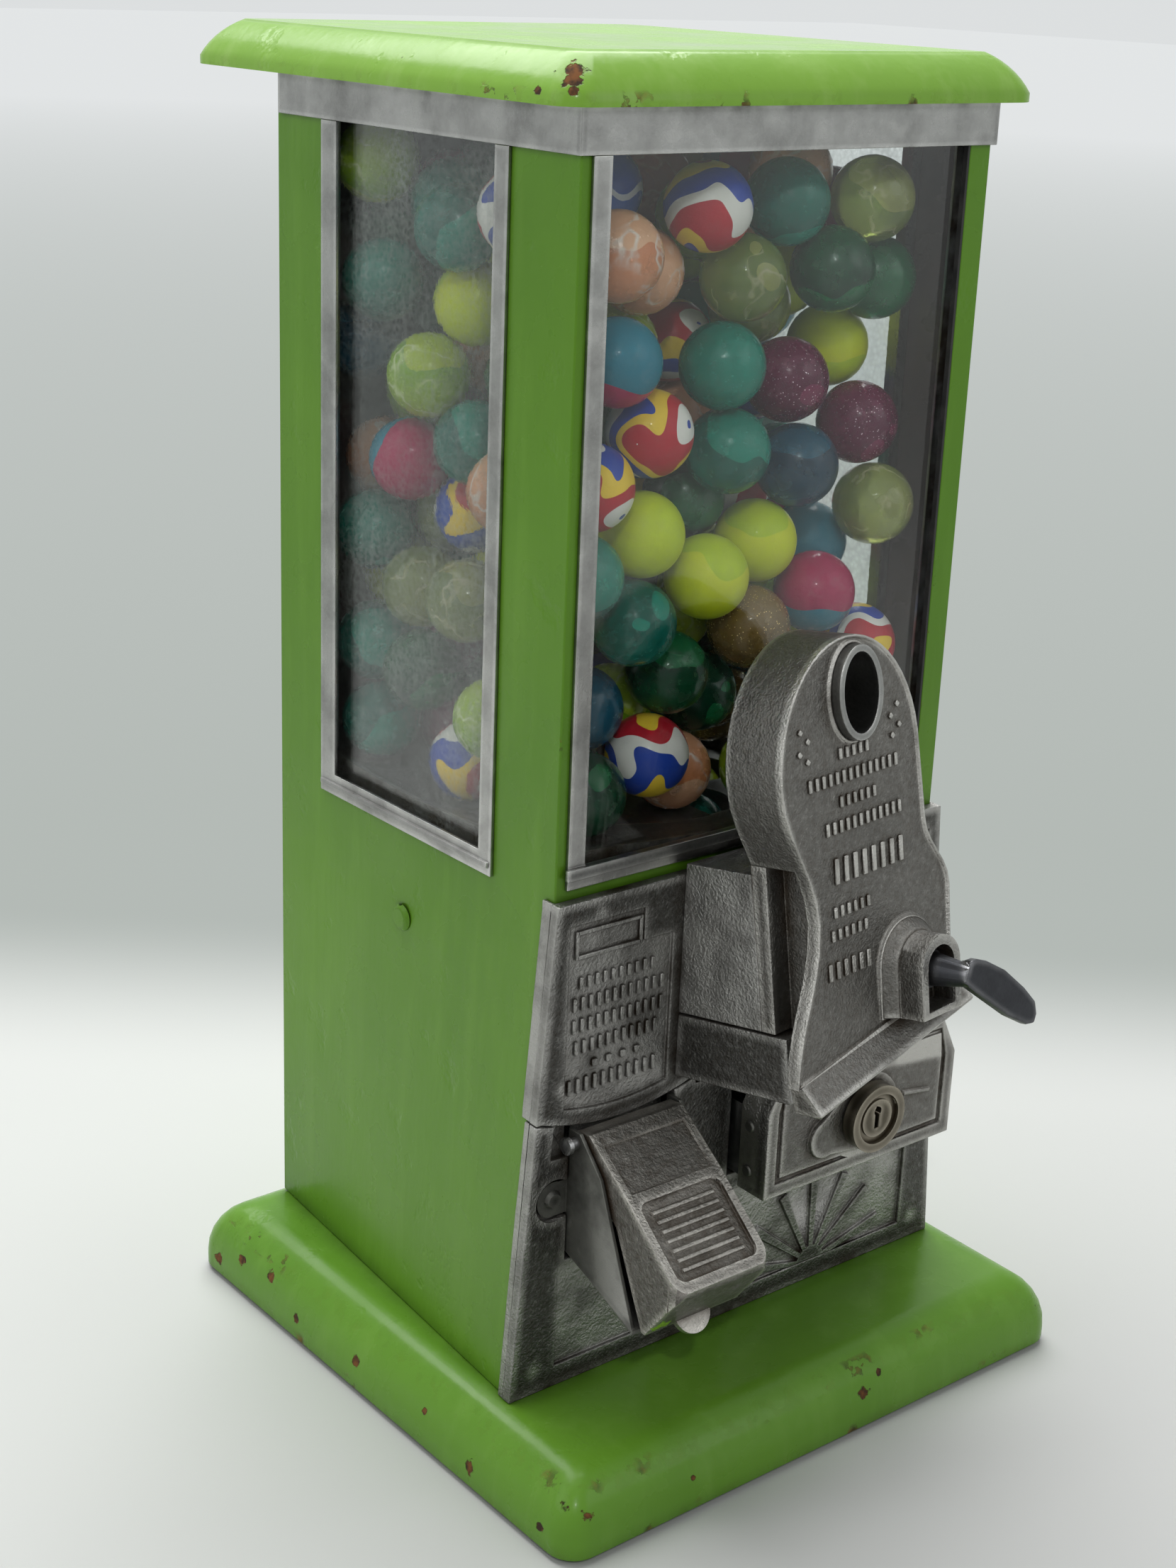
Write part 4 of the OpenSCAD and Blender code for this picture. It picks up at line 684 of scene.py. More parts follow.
BASE_GREEN = Enamel(
    "base_enamel", (0.165, 0.38, 0.032), (0.13, 0.31, 0.026), (0.25, 0.48, 0.08), chip_start=0.53, rough=0.24,
    spots=(
        (-99.0, -114.0, 18.0, 2.2), (-101.0, -108.0, 8.0, 1.8), (-93.0, -118.0, 14.5, 1.7),
        (-55.0, -119.5, 12.0, 1.1), (14.0, -119.6, 13.0, 2.0), (22.0, -118.6, 17.0, 1.2),
        (94.0, -117.0, 13.0, 2.0), (99.0, -112.0, 8.0, 1.5), (-100.5, 55.0, 13.0, 1.8),
        (-100.0, 38.0, 15.0, 2.0), (-101.0, 20.0, 9.0, 1.6), (-100.6, -14.0, 11.0, 2.0),
        (-100.0, -50.0, 13.0, 1.3), (-101.2, -74.0, 8.0, 2.2), (-100.4, 68.0, 7.0, 2.6),
    ),
)
SIDE_PANE = Pane("side_glass", 0.4, 0.00004, 0.2)
SIDE_DUST = DustFilm("side_dust", 0.44, (0.17, 0.18, 0.17), (0.34, 0.35, 0.33))
FRONT_DUST = DustFilm("front_dust", 0.012)
FRONT_PANE = Pane("front_glass", 0.05, 0.000004, 0.187, 0.09)
RUBBER = Rubber("pad_rubber")
GASKET = Rubber("window_gasket", (0.012, 0.012, 0.012))


def blend(low: Colour, high: Colour) -> tuple[tuple[float, Colour], ...]:
    """Returns the bands of a body colour that runs from one tone to another."""
    return (0.0, low), (1.0, high)


BALL_FINISHES: tuple[tuple[int, BallFinish], ...] = (
    (6, BallFinish(BallLook.TEAL, blend((0.002, 0.12, 0.09), (0.008, 0.28, 0.2)), clear=0.35)),
    (6, BallFinish(BallLook.GREEN, blend((0.002, 0.045, 0.02), (0.008, 0.16, 0.055)), clear=0.4)),
    (5, BallFinish(
        BallLook.LIME, blend((0.22, 0.42, 0.01), (0.48, 0.6, 0.03)), wisp=(0.8, 0.86, 0.5), clear=0.3
    )),
    (4, BallFinish(BallLook.YELLOW, blend((0.52, 0.56, 0.015), (0.38, 0.5, 0.012)), rough=0.34)),
    (5, BallFinish(
        BallLook.HALVES, ((0.0, (0.34, 0.014, 0.075)), (0.5, (0.015, 0.16, 0.23)), (0.97, (0.2, 0.07, 0.14))),
        0.55, 0.25,
    )),
    (5, BallFinish(
        BallLook.FLAG,
        (
            (0.0, (0.015, 0.05, 0.32)), (0.3, (0.66, 0.64, 0.6)), (0.52, (0.4, 0.012, 0.025)),
            (0.8, (0.7, 0.48, 0.04)),
        ),
        1.3, 1.1, rough=0.3,
    )),
    (2, BallFinish(
        BallLook.BLUE_WHITE, ((0.0, (0.015, 0.07, 0.36)), (0.55, (0.62, 0.64, 0.68)), (0.7, (0.02, 0.1, 0.42))),
        1.6, 1.3,
    )),
    (3, BallFinish(
        BallLook.GOLD, blend((0.14, 0.085, 0.02), (0.26, 0.16, 0.045)), glitter=(0.9, 0.68, 0.3), clear=0.3
    )),
    (4, BallFinish(
        BallLook.PLUM, blend((0.11, 0.006, 0.04), (0.22, 0.02, 0.08)), glitter=(0.75, 0.6, 0.65), clear=0.3
    )),
    (5, BallFinish(
        BallLook.CLEAR, blend((0.2, 0.28, 0.05), (0.42, 0.44, 0.13)), wisp=(0.75, 0.7, 0.45), clear=0.6,
        rough=0.08,
    )),
    (3, BallFinish(
        BallLook.PEACH, blend((0.66, 0.24, 0.1), (0.85, 0.5, 0.3)), wisp=(0.9, 0.86, 0.8), clear=0.35
    )),
    (3, BallFinish(BallLook.NAVY, blend((0.003, 0.035, 0.07), (0.01, 0.1, 0.17)), clear=0.35)),
    (1, BallFinish(
        BallLook.CORAL, blend((0.42, 0.06, 0.03), (0.5, 0.12, 0.06)), wisp=(0.6, 0.3, 0.2), clear=0.2
    )),
)


def add_object(name: str, data: ID) -> Object:
    """Adds an object with its data to the scene.

    Args:
        name: Its name.
        data: Its mesh, lamp or camera.

    Returns:
        The new object.
    """
    made = bpy.data.objects.new(name, data)
    bpy.context.scene.collection.objects.link(made)
    return made


@cache
def material_of(finish: Finish) -> Material:
    """Returns a finish's material, built on first use."""
    return finish.build()


def finish_object(
    name: str, mesh: BMesh, body: str, finish: Finish,
    nodes: Sequence[str] = (), sharp: float = SHARP_ANGLE, weighted: bool = False,
) -> Object:
    """Turns a built mesh into a piece that rides on its body.

    Args:
        name: The piece's name.
        mesh: The built mesh, which is freed.
        body: The body it rides on.
        finish: Its finish.
        nodes: CAD nodes that it stands for.
        sharp: Edges steeper than this angle in degrees stay sharp.
        weighted: Whether flat faces keep even shading beside rounded edges.

    Returns:
        The finished object.
    """
    data = bpy.data.meshes.new(name)
    mesh.to_mesh(data)
    mesh.free()
    data.shade_smooth()
    data.set_sharp_from_angle(angle=math.radians(sharp))
    data.materials.append(material_of(finish))
    piece = add_object(name, data)
    if weighted:
        modifier = piece.modifiers.new("even_shading", "WEIGHTED_NORMAL")
        modifier.keep_sharp = True
    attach(piece, body)
    if nodes:
        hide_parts(*nodes)
    LOG.info("%s rides on %s with %d faces", name, body, len(data.polygons))
    return piece


def body_of(node: str) -> str:
    """Returns the body that a CAD node rides on."""
    return str(frame["nodes"][node]["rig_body"])


def merged_copy(node: str) -> BMesh:
    """Copies a CAD node's mesh with its doubles merged and its flats joined.

    Args:
        node: The CAD node.

    Returns:
        The copied mesh.
    """
    mesh = bmesh.new()
    mesh.from_mesh(frame["nodes"][node].data)
    bmesh.ops.remove_doubles(mesh, verts=mesh.verts[:], dist=DOUBLE_GAP)
    bmesh.ops.dissolve_limit(
        mesh, angle_limit=FLAT_ANGLE, verts=mesh.verts[:], edges=mesh.edges[:], use_dissolve_boundaries=False
    )
    return mesh


def round_edges(mesh: BMesh, width: float, angle: float = 34.0, least: float = 1.1 * MM) -> None:
    """Rounds the steep edges of a mesh, and lays any point that strays back on the first surface.

    Args:
        mesh: The mesh.
        width: Width of the rounding.
        angle: Edges steeper than this, in degrees, are rounded.
        least: Shorter edges are left alone.
    """
    first = BVHTree.FromBMesh(mesh)
    steep = [
        e for e in mesh.edges
        if len(e.link_faces) == 2 and e.calc_length() > least and e.calc_face_angle(0.0) > math.radians(angle)
    ]
    bmesh.ops.bevel(
        mesh, geom=steep, offset=width, offset_type="OFFSET", segments=2, profile=0.5, affect="EDGES",
        clamp_overlap=False, material=-1,
    )
    for vert in mesh.verts:
        spot, _, _, gap = first.find_nearest(vert.co)
        if spot is not None and gap > STRAY * width:
            vert.co = spot


def add_box(mesh: BMesh, matrix: Matrix, size: Triple, edge: float = 0.0) -> None:
    """Adds a box with softened edges to a mesh.

    Args:
        mesh: The mesh to add to.
        matrix: Where its middle lies and how it is turned.
        size: Its three widths.
        edge: Width of its edge rounding.
    """
    made = bmesh.ops.create_cube(mesh, size=1.0, matrix=matrix @ Matrix.Diagonal((*size, 1.0)))
    if edge > 0:
        edges = list({e for v in made["verts"] for e in v.link_edges})
        bmesh.ops.bevel(
            mesh, geom=edges, offset=edge, offset_type="OFFSET", segments=1, profile=0.5, affect="EDGES",
            clamp_overlap=True, material=-1,
        )


@dataclass(frozen=True)
class Coat:
    """A finish and the nodes that get it: as copies with edges rounded by a width in mm, or as their own solids."""

    finish: Finish
    nodes: str
    width: float | None = None
    sharp: float = SHARP_ANGLE

    def apply(self) -> None:
        """Gives each node the finish."""
        for node in self.nodes.split():
            if self.width is None:
                self.dress(node)
            else:
                self.soften(node, self.width * MM)

    def dress(self, node: str) -> None:
        """Gives a CAD node the finish on its own slots.

        Args:
            node: The CAD node.
        """
        piece = frame["nodes"][node]
        if not piece.material_slots:
            piece.data.materials.append(material_of(self.finish))
        for held in piece.material_slots:
            held.material = material_of(self.finish)
        LOG.info("%s keeps its solid with %s", node, self.finish.name)

    def soften(self, node: str, width: float) -> None:
        """Replaces a CAD node by a copy with rounded edges and smooth curves.

        Args:
            node: The CAD node.
            width: Width of the rounding.
        """
        mesh = merged_copy(node)
        if width:
            round_edges(mesh, width)
        finish_object(
            node + "_dressed", mesh, body_of(node), self.finish, [node], sharp=self.sharp, weighted=True
        )


@dataclass
class PhotoView:
    """The camera, which stands where the photograph was taken from, with its focal length in pixels."""

    place: Triple = (-0.4467, -0.5367, 0.4250)
    right: Triple = (0.78077, -0.62366, 0.03799)
    up: Triple = (0.18112, 0.28408, 0.94154)
    ahead: Triple = (0.59799, 0.72824, -0.33476)
    focal: float = 3314.0
    image_high: float = 2212.0
    sensor: float = 36.0

    def build(self) -> None:
        """Adds the camera and makes it the scene's own."""
        data = bpy.data.cameras.new("photo_view")
        data.sensor_width = self.sensor
        data.lens = self.sensor * self.focal / self.image_high
        data.clip_start = 0.01
        data.clip_end = 30.0
        camera = add_object("photo_view", data)
        columns = [Vector(self.right), Vector(self.up), -Vector(self.ahead)]
        turn = Matrix([[c[row] for c in columns] for row in range(3)]).to_4x4()
        camera.matrix_world = Matrix.Translation(Vector(self.place)) @ turn
        bpy.context.scene.camera = camera
        LOG.info("camera with a lens of %.2f mm", data.lens)


@dataclass
class Studio:
    """Pale floor, soft lamps and an even sky."""

    floor_half: float = 12.0
    ahead: Triple = (0.6346, 0.7728, 0.0)
    turns_far: tuple[float, float] = (0.13, 0.3)
    rings_far: tuple[float, float] = (1.3, 2.6)
    lifts: tuple[float, float] = (0.5, 6.0)
    near_tone: Colour = (0.72, 0.73, 0.715)
    far_tone: Colour = (0.4, 0.435, 0.41)
    sky_tone: Colour = (0.72, 0.74, 0.745)
    light_tone: Colour = (0.8, 0.83, 0.83)
    light_strength: float = 0.16
    aim: Triple = (0.0, 0.0, 0.2)
    lamps: tuple[tuple[str, Triple, float, float], ...] = (
        ("window_lamp", (-1.6, 0.3, 1.2), 1.4, 6.0),
        ("top_lamp", (0.25, 0.7, 1.8), 1.8, 45.0),
        ("front_lamp", (0.9, -1.8, 1.3), 1.2, 5.0),
        ("spark_lamp", (-0.9, -1.25, 1.35), 0.07, 4.0),
    )

    def build(self) -> None:
        """Adds the floor, the lamps and the sky."""
        mesh = bmesh.new()
        bmesh.ops.create_grid(mesh, x_segments=2, y_segments=2, size=self.floor_half)
        data = bpy.data.meshes.new("floor")
        mesh.to_mesh(data)
        mesh.free()
        floor = add_object("floor", data)
        data.materials.append(self.floor_material())
        for name, place, size, power in self.lamps:
            lamp = bpy.data.lights.new(name, "AREA")
            lamp.shape = "SQUARE"
            lamp.size = size
            lamp.energy = power
            holder = add_object(name, lamp)
            holder.location = place
            holder.rotation_euler = (Vector(self.aim) - Vector(place)).to_track_quat("-Z", "Y").to_euler()
        self.sky()
        bpy.context.scene.view_settings.view_transform = "Standard"

    def floor_material(self) -> Material:
        """Builds the pale floor, which turns into an even pale backdrop behind the machine.

        Returns:
            The floor's material.
        """
        material, b, shader, _ = open_material("pale_floor")
        depth = b.add("ShaderNodeVectorMath", {0: b.place(), 1: self.ahead}, operation="DOT_PRODUCT").outputs["Value"]
        away = b.add("ShaderNodeVectorMath", {0: b.place()}, operation="LENGTH").outputs["Value"]
        start, end = self.turns_far
        behind = b.add(
            "ShaderNodeMapRange", {"Value": depth, "From Min": start, "From Max": end},
            interpolation_type="SMOOTHSTEP",
        ).outputs[0]
        far = b.sum("MAXIMUM", behind, b.spread(away, *self.rings_far))
        b.feed(shader, {
            "Base Color": b.mix(far, self.near_tone, (0.03, 0.03, 0.03)), "Roughness": 0.8,
            "Specular IOR Level": 0.1, "Emission Strength": far,
            "Emission Color": b.mix(b.spread(away, *self.lifts), self.far_tone, self.sky_tone),
        })
        return material

    def sky(self) -> None:
        """Makes the sky even and pale."""
        world = bpy.data.worlds.new("studio_sky")
        bpy.context.scene.world = world
        world.use_nodes = True
        world.node_tree.nodes.clear()
        b = Bench(world.node_tree)
        way = b.add("ShaderNodeLightPath").outputs
        seen = b.sum("MAXIMUM", way["Is Camera Ray"], way["Is Transmission Ray"])
        seen = b.sum("MAXIMUM", seen, way["Is Glossy Ray"])
        light = b.add("ShaderNodeBackground", {"Color": self.light_tone, "Strength": self.light_strength})
        shown = b.add("ShaderNodeBackground", {"Color": self.sky_tone, "Strength": 1.0})
        both = b.add("ShaderNodeMixShader", {0: seen, 1: light.outputs[0], 2: shown.outputs[0]})
        b.add("ShaderNodeOutputWorld", {"Surface": both.outputs[0]})


@dataclass
class SubAssembly:
    """A part of the machine: the coats of its CAD nodes, and the pieces that it adds."""

    coats: tuple[Coat, ...] = ()

    def build(self) -> None:
        """Dresses the CAD nodes and adds the part's own pieces."""
        for coat in self.coats:
            coat.apply()
        self.add_pieces()

    def add_pieces(self) -> None:
        """Adds nothing, for a part without pieces of its own."""


@dataclass
class Cabinet(SubAssembly):
    """The enamelled case with its base, trims and windows."""

    coats: tuple[Coat, ...] = (
        Coat(BASE_GREEN, "base", 0.0, 50.0),
        Coat(GREEN, "cabinet", 0.5),
        Coat(GREEN, "side_rivets", 0.3),
        Coat(STRIP, "trim_band left_window_trim right_window_trim front_window_trim", 0.25),
        Coat(SIDE_PANE, "left_glass right_glass"),
        Coat(FRONT_PANE, "front_glass"),
        Coat(RUBBER, "base_pad"),
        Coat(STEEL, "glass_clips case_screws plate_screws"),
    )
    wall_x: float = 74.3 * MM
    wall_y: float = 70.9 * MM
    wall: float = 2.0 * MM
    window_top: float = 381.0 * MM
    side_sill: float = 180.0 * MM
    front_sill: float = 184.7 * MM
    side_reach: tuple[float, float] = (-40.0 * MM, 43.5 * MM)
    front_half: float = 66.0 * MM
    lining: float = 0.9 * MM
    lining_edge: float = 0.1 * MM
    film_x: float = 69.3 * MM
    film_y: float = 65.9 * MM
    film_over: float = 2.0 * MM

    def add_pieces(self) -> None:
        """Lines the windows and lays dust on the panes."""
        self.gaskets()
        self.dust()

    def side_span(self) -> tuple[float, float]:
        """Returns the middle and the half width of the side windows."""
        front, rear = self.side_reach
        return (front + rear) / 2, (rear - front) / 2

    def dust(self) -> None:
        """Lays a film of dust on the inner face of each pane."""
        middle, half = self.side_span()
        high = (self.window_top - self.side_sill) / 2
        sideways = Matrix.Rotation(QUARTER_TURN, 4, "Y")
        for name, side in (("left_dust", -1.0), ("right_dust", 1.0)):
            place = Matrix.Translation((side * self.film_x, middle, self.side_sill + high))
            self.film(name, SIDE_DUST, place @ sideways, (high, half + self.film_over), (8, 4))
        high = (self.window_top - self.front_sill) / 2
        place = Matrix.Translation((0, -self.film_y, self.front_sill + high))
        self.film("front_dust", FRONT_DUST, place @ UPRIGHT, (self.front_half, high), (4, 8))

    def film(
        self, name: str, finish: DustFilm, matrix: Matrix, half: tuple[float, float], steps: tuple[int, int]
    ) -> None:
        """Adds one flat film.

        Args:
            name: The film's name.
            finish: Its finish.
            matrix: Where its middle lies and how it is turned.
            half: Half its two widths.
            steps: Number of squares along each.
        """
        mesh = bmesh.new()
        size = Matrix.Diagonal((*half, 1, 1))
        bmesh.ops.create_grid(mesh, x_segments=steps[0], y_segments=steps[1], size=1.0, matrix=matrix @ size)
        finish_object(name, mesh, "cabinet", finish)

    def gaskets(self) -> None:
        """Lines each window opening with a dark strip."""
        mesh = bmesh.new()
        middle, half = self.side_span()
        sideways = Matrix.Rotation(QUARTER_TURN, 4, "Z") @ UPRIGHT
        for side in (-1.0, 1.0):
            place = Matrix.Translation((side * (self.wall_x - self.wall / 2), middle, 0))
            self.one_gasket(mesh, place @ sideways, half, self.side_sill)
        place = Matrix.Translation((0, -self.wall_y + self.wall / 2, 0))
        self.one_gasket(mesh, place @ UPRIGHT, self.front_half, self.front_sill)
        finish_object("window_gaskets", mesh, "cabinet", GASKET)

    def one_gasket(self, mesh: BMesh, matrix: Matrix, half: float, low: float) -> None:
        """Adds one frame, drawn with its width along X and its height along Y.

        Args:
            mesh: The mesh to add to.
            matrix: Where the frame stands.
            half: Half its width.
            low: Height of its lower edge.
        """
        high = (self.window_top - low) / 2
        thin = self.lining / 2
        bars: Bars = (
            (0.0, low + thin, half, thin), (0.0, low + 2 * high - thin, half, thin),
            (-half + thin, low + high, thin, high), (half - thin, low + high, thin, high),
        )
        for x, y, half_x, half_y in bars:
            size = (2 * half_x, 2 * half_y, self.wall * 0.9)
            add_box(mesh, matrix @ Matrix.Translation((x, y, 0)), size, self.lining_edge)


@dataclass
class Lid(SubAssembly):
    """The lid casting with its hinge."""

    coats: tuple[Coat, ...] = (
        Coat(LID_GREEN, "lid", 0.0, 50.0),
        Coat(STEEL, "lid_leaf case_leaf", 0.15),
        Coat(STEEL, "hinge_pin"),
    )


@dataclass(frozen=True)
class FluteRow:
    """A row of short upright bars on a casting, in millimetres."""

    up: float
    high: float
    start: float
    end: float
    pitch: float = 2.9
    wide: float = 1.3
    edge: float = 0.22

    def add(self, mesh: BMesh, matrix: Matrix, raise_by: float) -> None:
        """Adds the bars to a face that lies in X and Z and looks along -Y.

        Args:
            mesh: The mesh to add to.
            matrix: The face's frame.
            raise_by: How far the bars stand out.
        """
        count = max(1, int((self.end - self.start) / self.pitch) + 1)
        for number in range(count):
            x = self.start + number * self.pitch
            spot = matrix @ Matrix.Translation((x * MM, -raise_by / 2 * FLUTE_SINK, self.up * MM))
            add_box(mesh, spot, (self.wide * MM, raise_by, self.high * MM), self.edge * MM)


@dataclass
class CoinHead(SubAssembly):
    """The coin mechanism on the front, turned and leaned as a whole."""

    coats: tuple[Coat, ...] = (
        Coat(SHADED_PLATE, "mech_housing mech_ledge", 0.45),
        Coat(STRIP, "coin_ring", 0.35),
        Coat(BRASS, "handle_bush coin_wheel pinion", 0.2),
        Coat(BLACK_STEEL, "handle_shaft", 0.3),
        Coat(STEEL, "coin_track coin_pawl pawl_pin shaft_bracket"),
        Coat(BLACK_STEEL, "thumb_handle", 0.7),
    )
    start: Triple = (-5.6 * MM, -70.9 * MM, 157.0 * MM)
    turn: float = 7.0
    lean: float = 9.0
    face: float = 49.0 * MM
    face_gap: float = 0.05 * MM
    ground: float = 0.7 * MM
    rim: float = 0.85 * MM
    slope: float = 0.28 * MM
    edge: float = 0.4 * MM
    rows: tuple[FluteRow, ...] = (
        FluteRow(57.0, 3.2, -7.5, 6.0), FluteRow(50.5, 3.6, -21.0, 18.5), FluteRow(43.6, 3.2, -8.0, 8.0),
        FluteRow(36.8, 3.6, -14.5, 19.0), FluteRow(24.5, 7.4, -11.5, 21.0, 4.1, 1.8),
        FluteRow(13.0, 3.2, -13.0, 3.0), FluteRow(6.6, 3.2, -14.5, 2.0), FluteRow(-3.5, 5.0, -16.5, 3.0, 3.4, 1.5),
    )
    pip: float = 1.5 * MM
    pip_edge: float = 0.2 * MM
    pips: tuple[tuple[float, float], ...] = (
        (-24.0, 66.0), (-21.0, 63.0), (-24.6, 60.0), (-21.4, 57.4), (18.4, 66.0), (15.4, 63.0), (19.0, 60.0),
        (15.8, 57.4),
    )

    def matrix(self) -> Matrix:
        """Returns the mechanism's frame, which looks along its own -Y."""
        turned = Matrix.Rotation(math.radians(self.turn), 4, "Z") @ Matrix.Rotation(math.radians(-self.lean), 4, "X")
        return Matrix.Translation(Vector(self.start)) @ turned

    def add_pieces(self) -> None:
        """Adds the casting with its sunk face, and the relief on it."""
        self.casting()
        self.relief()

    def casting(self) -> None:
        """Sinks the ground of the face, which leaves a rim round its outline."""
        mesh = merged_copy("coin_head")
        back = self.matrix().inverted()
        out = self.matrix().to_3x3() @ Vector((0, -1, 0))
        flat = [
            f for f in mesh.faces
            if f.normal.dot(out) > 0.999 and abs((back @ f.calc_center_median()).y + self.face) < self.face_gap
        ]
        for thick, depth in ((self.rim, 0.0), (self.slope, -self.ground)):
            bmesh.ops.inset_region(
                mesh, faces=flat, thickness=thick, depth=depth, use_even_offset=False, use_boundary=True
            )
        bounds = [e for e in {e for f in flat for e in f.edges} if sum(f in flat for f in e.link_faces) == 1]
        bmesh.ops.delete(mesh, geom=flat, context="FACES_ONLY")
        filled = bmesh.ops.triangle_fill(mesh, use_beauty=True, use_dissolve=False, edges=bounds, normal=out)
        faces = [g for g in filled["geom"] if isinstance(g, BMFace)]
        bmesh.ops.reverse_faces(mesh, faces=[f for f in faces if f.normal.dot(out) < 0])
        loose = [e for e in mesh.edges if not e.link_faces]
        bmesh.ops.delete(mesh, geom=loose, context="EDGES")
        round_edges(mesh, self.edge)
        finish_object("coin_head_dressed", mesh, "cabinet", CAST, ["coin_head"], weighted=True)

    def relief(self) -> None:
        """Adds the flutes and pips on the sunk ground."""
        mesh = bmesh.new()
        ground = self.matrix() @ Matrix.Translation((0, -self.face + self.ground, 0))
        for row in self.rows:
            row.add(mesh, ground, self.ground)
        on_edge = Matrix.Rotation(QUARTER_TURN / 2, 4, "Y")
        for x, up in self.pips:
            spot = ground @ Matrix.Translation((x * MM, -self.ground / 2, up * MM)) @ on_edge
            add_box(mesh, spot, (self.pip, self.ground * FLUTE_SINK, self.pip), self.pip_edge)
        finish_object("coin_head_flutes", mesh, "cabinet", CAST)


@dataclass
class FrontPlates(SubAssembly):
    """The two cast plates of the front."""

    coats: tuple[Coat, ...] = (Coat(SHADED_PLATE, "upper_plate lower_plate", 0.4),)
    ground_y: float = -73.2 * MM
    raise_by: float = 0.9 * MM
    edge: float = 0.2 * MM
    rows: tuple[FluteRow, ...] = (
        FluteRow(153.0, 3.6, -66.0, -39.0), FluteRow(146.5, 4.2, -68.0, -36.0), FluteRow(139.8, 4.2, -68.0, -36.0),
        FluteRow(133.0, 4.2, -67.0, -38.0), FluteRow(127.0, 2.2, -60.0, -44.0, 5.2, 2.0),
        FluteRow(121.0, 4.6, -69.0, -36.0, 3.1),
    )
    bars: Bars = (
        (-56.5, 168.4, 23.0, 1.2), (-56.5, 161.0, 23.0, 1.2), (-68.0, 164.7, 1.2, 8.6), (-45.0, 164.7, 1.2, 8.6),
    )

    def add_pieces(self) -> None:
        """Adds the flutes and the empty frame on the upper plate."""
        mesh = bmesh.new()
        ground = Matrix.Translation((0, self.ground_y, 0))
        for row in self.rows:
            row.add(mesh, ground, self.raise_by)
        for x, z, wide, high in self.bars:
            spot = ground @ Matrix.Translation((x * MM, -self.raise_by / 2, z * MM))
            add_box(mesh, spot, (wide * MM, self.raise_by, high * MM), self.edge)
        finish_object("upper_plate_flutes", mesh, "cabinet", SHADED_PLATE)


@dataclass
class Chute(SubAssembly):
    """The ball chute with its flap."""

    coats: tuple[Coat, ...] = (
        Coat(SHEET, "chute_sides chute_rivets", 0.2),
        Coat(FLAP, "chute_flap", 0.35),
        Coat(STEEL, "flap_pin", 0.1),
        Coat(CAST, "inner_chute"),
    )


@dataclass
class CashDrawer(SubAssembly):
    """The cash door with its lock, its box and its runners."""

    coats: tuple[Coat, ...] = (
        Coat(CAST, "cash_door", 0.4),
        Coat(LOCK, "lock_barrel lock_plug", 0.3),
        Coat(BRASS, "lock_nut"),
        Coat(STEEL, "lock_cam box_runners"),
        Coat(BLACK_STEEL, "cash_box"),
        Coat(SHEET, "box_rivets", 0.0),
    )


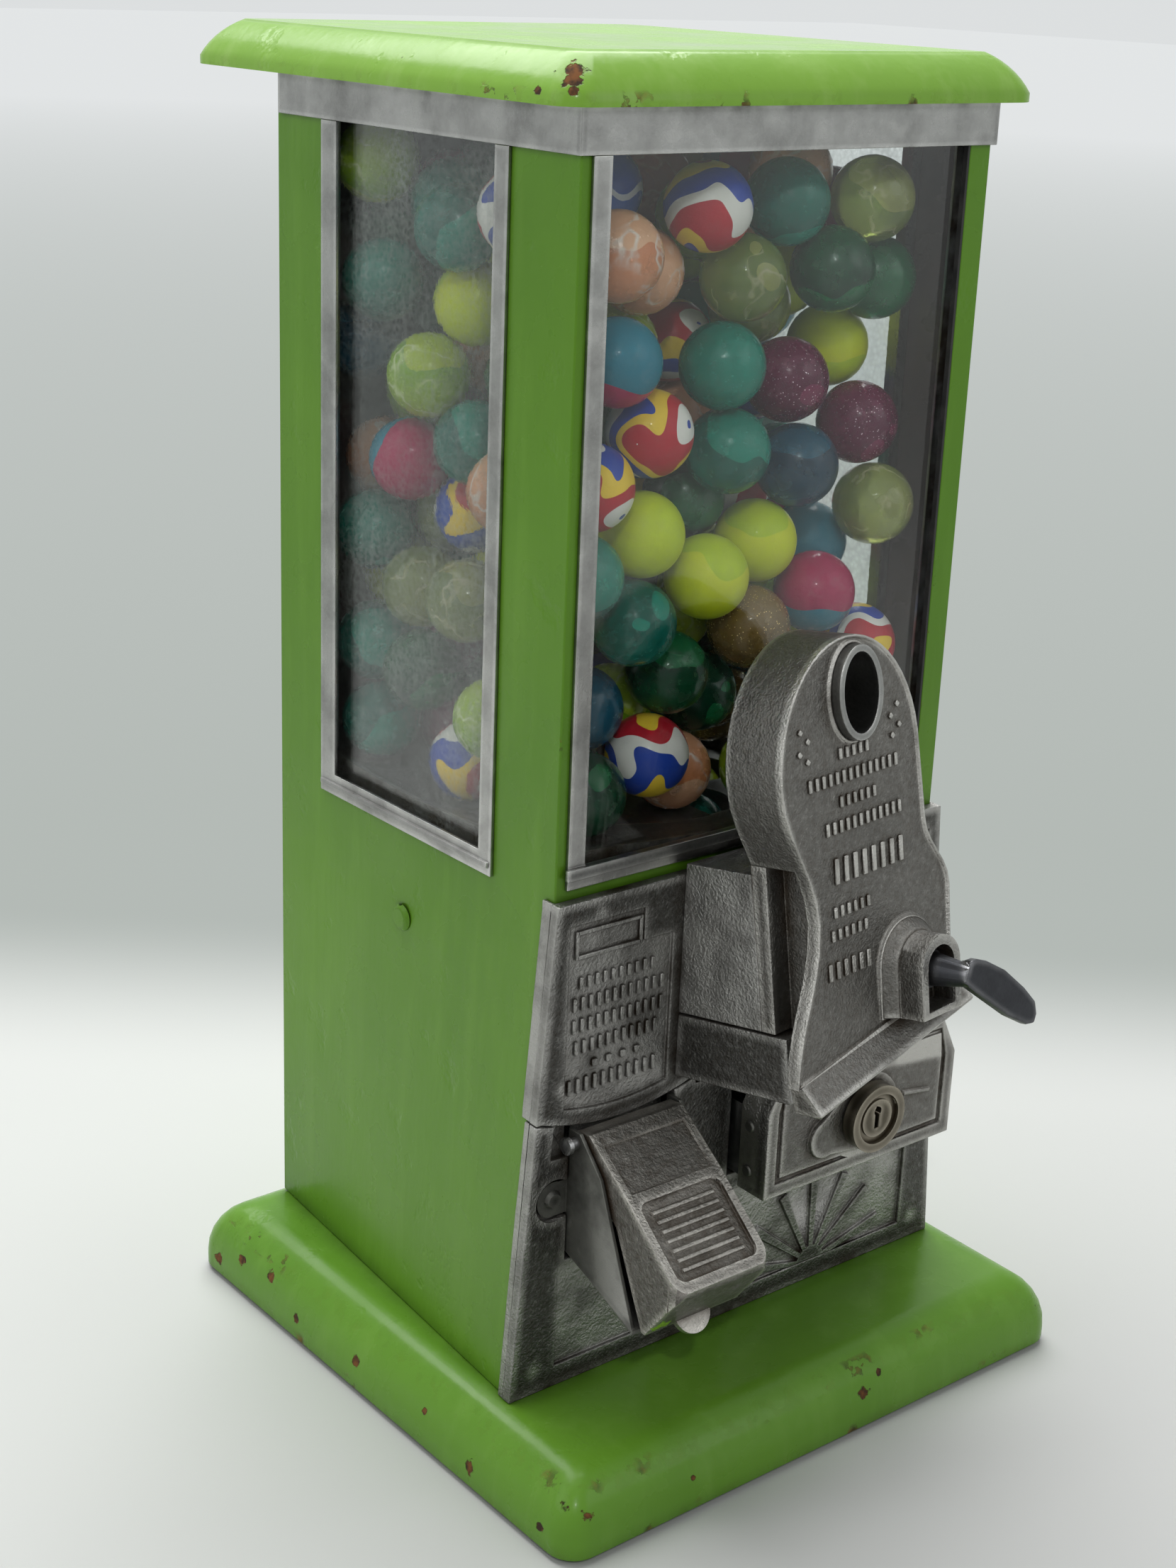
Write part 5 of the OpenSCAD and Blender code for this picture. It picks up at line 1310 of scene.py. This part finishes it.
@dataclass
class Hopper(SubAssembly):
    """The hopper floor, the vend wheel and the load of balls."""

    coats: tuple[Coat, ...] = (
        Coat(CAST, "hopper_floor agitator"),
        Coat(STRIP, "vend_wheel"),
        Coat(STEEL, "wheel_pegs wheel_spindle drop_guard"),
    )
    radius: float = 12.25 * MM
    gap: float = 0.1 * MM
    reach_x: float = 55.8 * MM
    reach_y: tuple[float, float] = (-52.4 * MM, 56.0 * MM)
    top: float = 370.4 * MM
    step: float = 2.4 * MM
    seed: int = 5
    divisions: int = 3
    near_pane: float = 0.75
    turn_limit: float = 6.28
    band_shifts: Triple = (0.0, 0.0, 0.35)
    sharp: float = 80.0

    def add_pieces(self) -> None:
        """Makes the balls of the load, the balls on top of it and those in the pockets."""
        chooser = random.Random(self.seed)
        load = self.centres("ball_load")
        self.balls(load + self.topping(load), "cabinet", "ball_load", chooser)
        self.balls(self.centres("pocket_balls"), "wheel", "pocket_balls", chooser)

    def centres(self, node: str) -> list[Vector]:
        """Finds the middle of each loose ball of a CAD node.

        Args:
            node: The CAD node.

        Returns:
            The middles, sorted from the floor up.
        """
        mesh = bmesh.new()
        mesh.from_mesh(frame["nodes"][node].data)
        bmesh.ops.remove_doubles(mesh, verts=mesh.verts[:], dist=DOUBLE_GAP)
        left = set(mesh.verts)
        found: list[Vector] = []
        while left:
            island = {left.pop()}
            edge = list(island)
            while edge:
                near = {vert for link in edge.pop().link_edges for vert in link.verts} & left
                left -= near
                island |= near
                edge += near
            low, high = (Vector([end(v.co[k] for v in island) for k in range(3)]) for end in (min, max))
            found.append((low + high) / 2)
        mesh.free()
        return sorted(found, key=lambda c: (round(c.z, 4), round(c.x, 4), round(c.y, 4)))

    def topping(self, load: Sequence[Vector]) -> list[Vector]:
        """Lays more balls on the load, each where it comes to rest lowest.

        Args:
            load: The middles of the load's balls.

        Returns:
            The middles of the added balls.
        """
        heights = {
            (x * self.step, y * self.step): 0.0
            for x in range(int(-self.reach_x / self.step), int(self.reach_x / self.step) + 1)
            for y in range(int(self.reach_y[0] / self.step), int(self.reach_y[1] / self.step) + 1)
        }
        for ball in load:
            self.settle(heights, ball)
        added: list[Vector] = []
        while min(heights.values()) < self.top:
            x, y = min(heights, key=lambda spot: heights[spot])
            ball = Vector((x, y, heights[x, y]))
            self.settle(heights, ball)
            added.append(ball)
        LOG.info("%d balls lie on the load", len(added))
        return added

    def settle(self, heights: dict[tuple[float, float], float], ball: Vector) -> None:
        """Raises the heights at which another ball would rest on this one.

        Args:
            heights: Resting heights by place.
            ball: The middle of the ball.
        """
        reach = 2 * self.radius + self.gap
        for (x, y), height in heights.items():
            flat = (ball.x - x) ** 2 + (ball.y - y) ** 2
            if flat < reach * reach:
                heights[x, y] = max(height, ball.z + math.sqrt(reach * reach - flat))

    def balls(self, centres: Sequence[Vector], body: str, node: str, chooser: random.Random) -> None:
        """Makes the balls of a node, one piece for each kind.

        Args:
            centres: Where they lie.
            body: The body they ride on.
            node: The CAD node they stand for.
            chooser: The seeded source of choices.
        """
        kinds = [finish for count, finish in BALL_FINISHES for _ in range(count)]
        picked = [chooser.choice(kinds) for _ in centres]
        for _, finish in BALL_FINISHES:
            own = [c for c, kind in zip(centres, picked) if kind is finish]
            if not own:
                continue
            mesh = bmesh.new()
            layer = mesh.verts.layers.float_vector.new("ball_place")
            for centre in own:
                self.one_ball(mesh, layer, centre, chooser)
            name = f"{body}_balls_{finish.look.value}"
            finish_object(name, mesh, body, finish, [node], sharp=self.sharp)

    def one_ball(self, mesh: BMesh, layer: Any, centre: Vector, chooser: random.Random) -> None:
        """Adds a ball, turned at random in its own coordinates.

        Args:
            mesh: The mesh to add to.
            layer: The layer that holds each ball's own coordinates.
            centre: The ball's middle.
            chooser: The seeded source of choices.
        """
        limit = self.near_pane * self.reach_x
        near = centre.y < -limit or abs(centre.x) > limit
        made = bmesh.ops.create_icosphere(
            mesh, subdivisions=self.divisions + near, radius=self.radius, matrix=Matrix.Translation(centre)
        )
        turn = Matrix.Rotation(chooser.uniform(0, self.turn_limit), 3, "Z")
        turn = turn @ Matrix.Rotation(chooser.uniform(0, self.turn_limit), 3, "X")
        for _ in range(2):
            chooser.random()  # skipped, which keeps the order of the draws after it
        shift = Vector((0, 0, chooser.choice(self.band_shifts)))
        for vert in made["verts"]:
            vert[layer] = turn @ ((vert.co - centre) / self.radius) + shift


def main() -> None:
    """Builds every sub-assembly in order."""
    logging.basicConfig(level=logging.INFO, format="%(message)s")
    PhotoView().build()
    Studio().build()
    for part in (Cabinet, Lid, FrontPlates, CoinHead, Chute, CashDrawer, Hopper):
        part().build()
        LOG.info("%s is dressed", part.__name__)


if __name__ == "__main__":
    main()
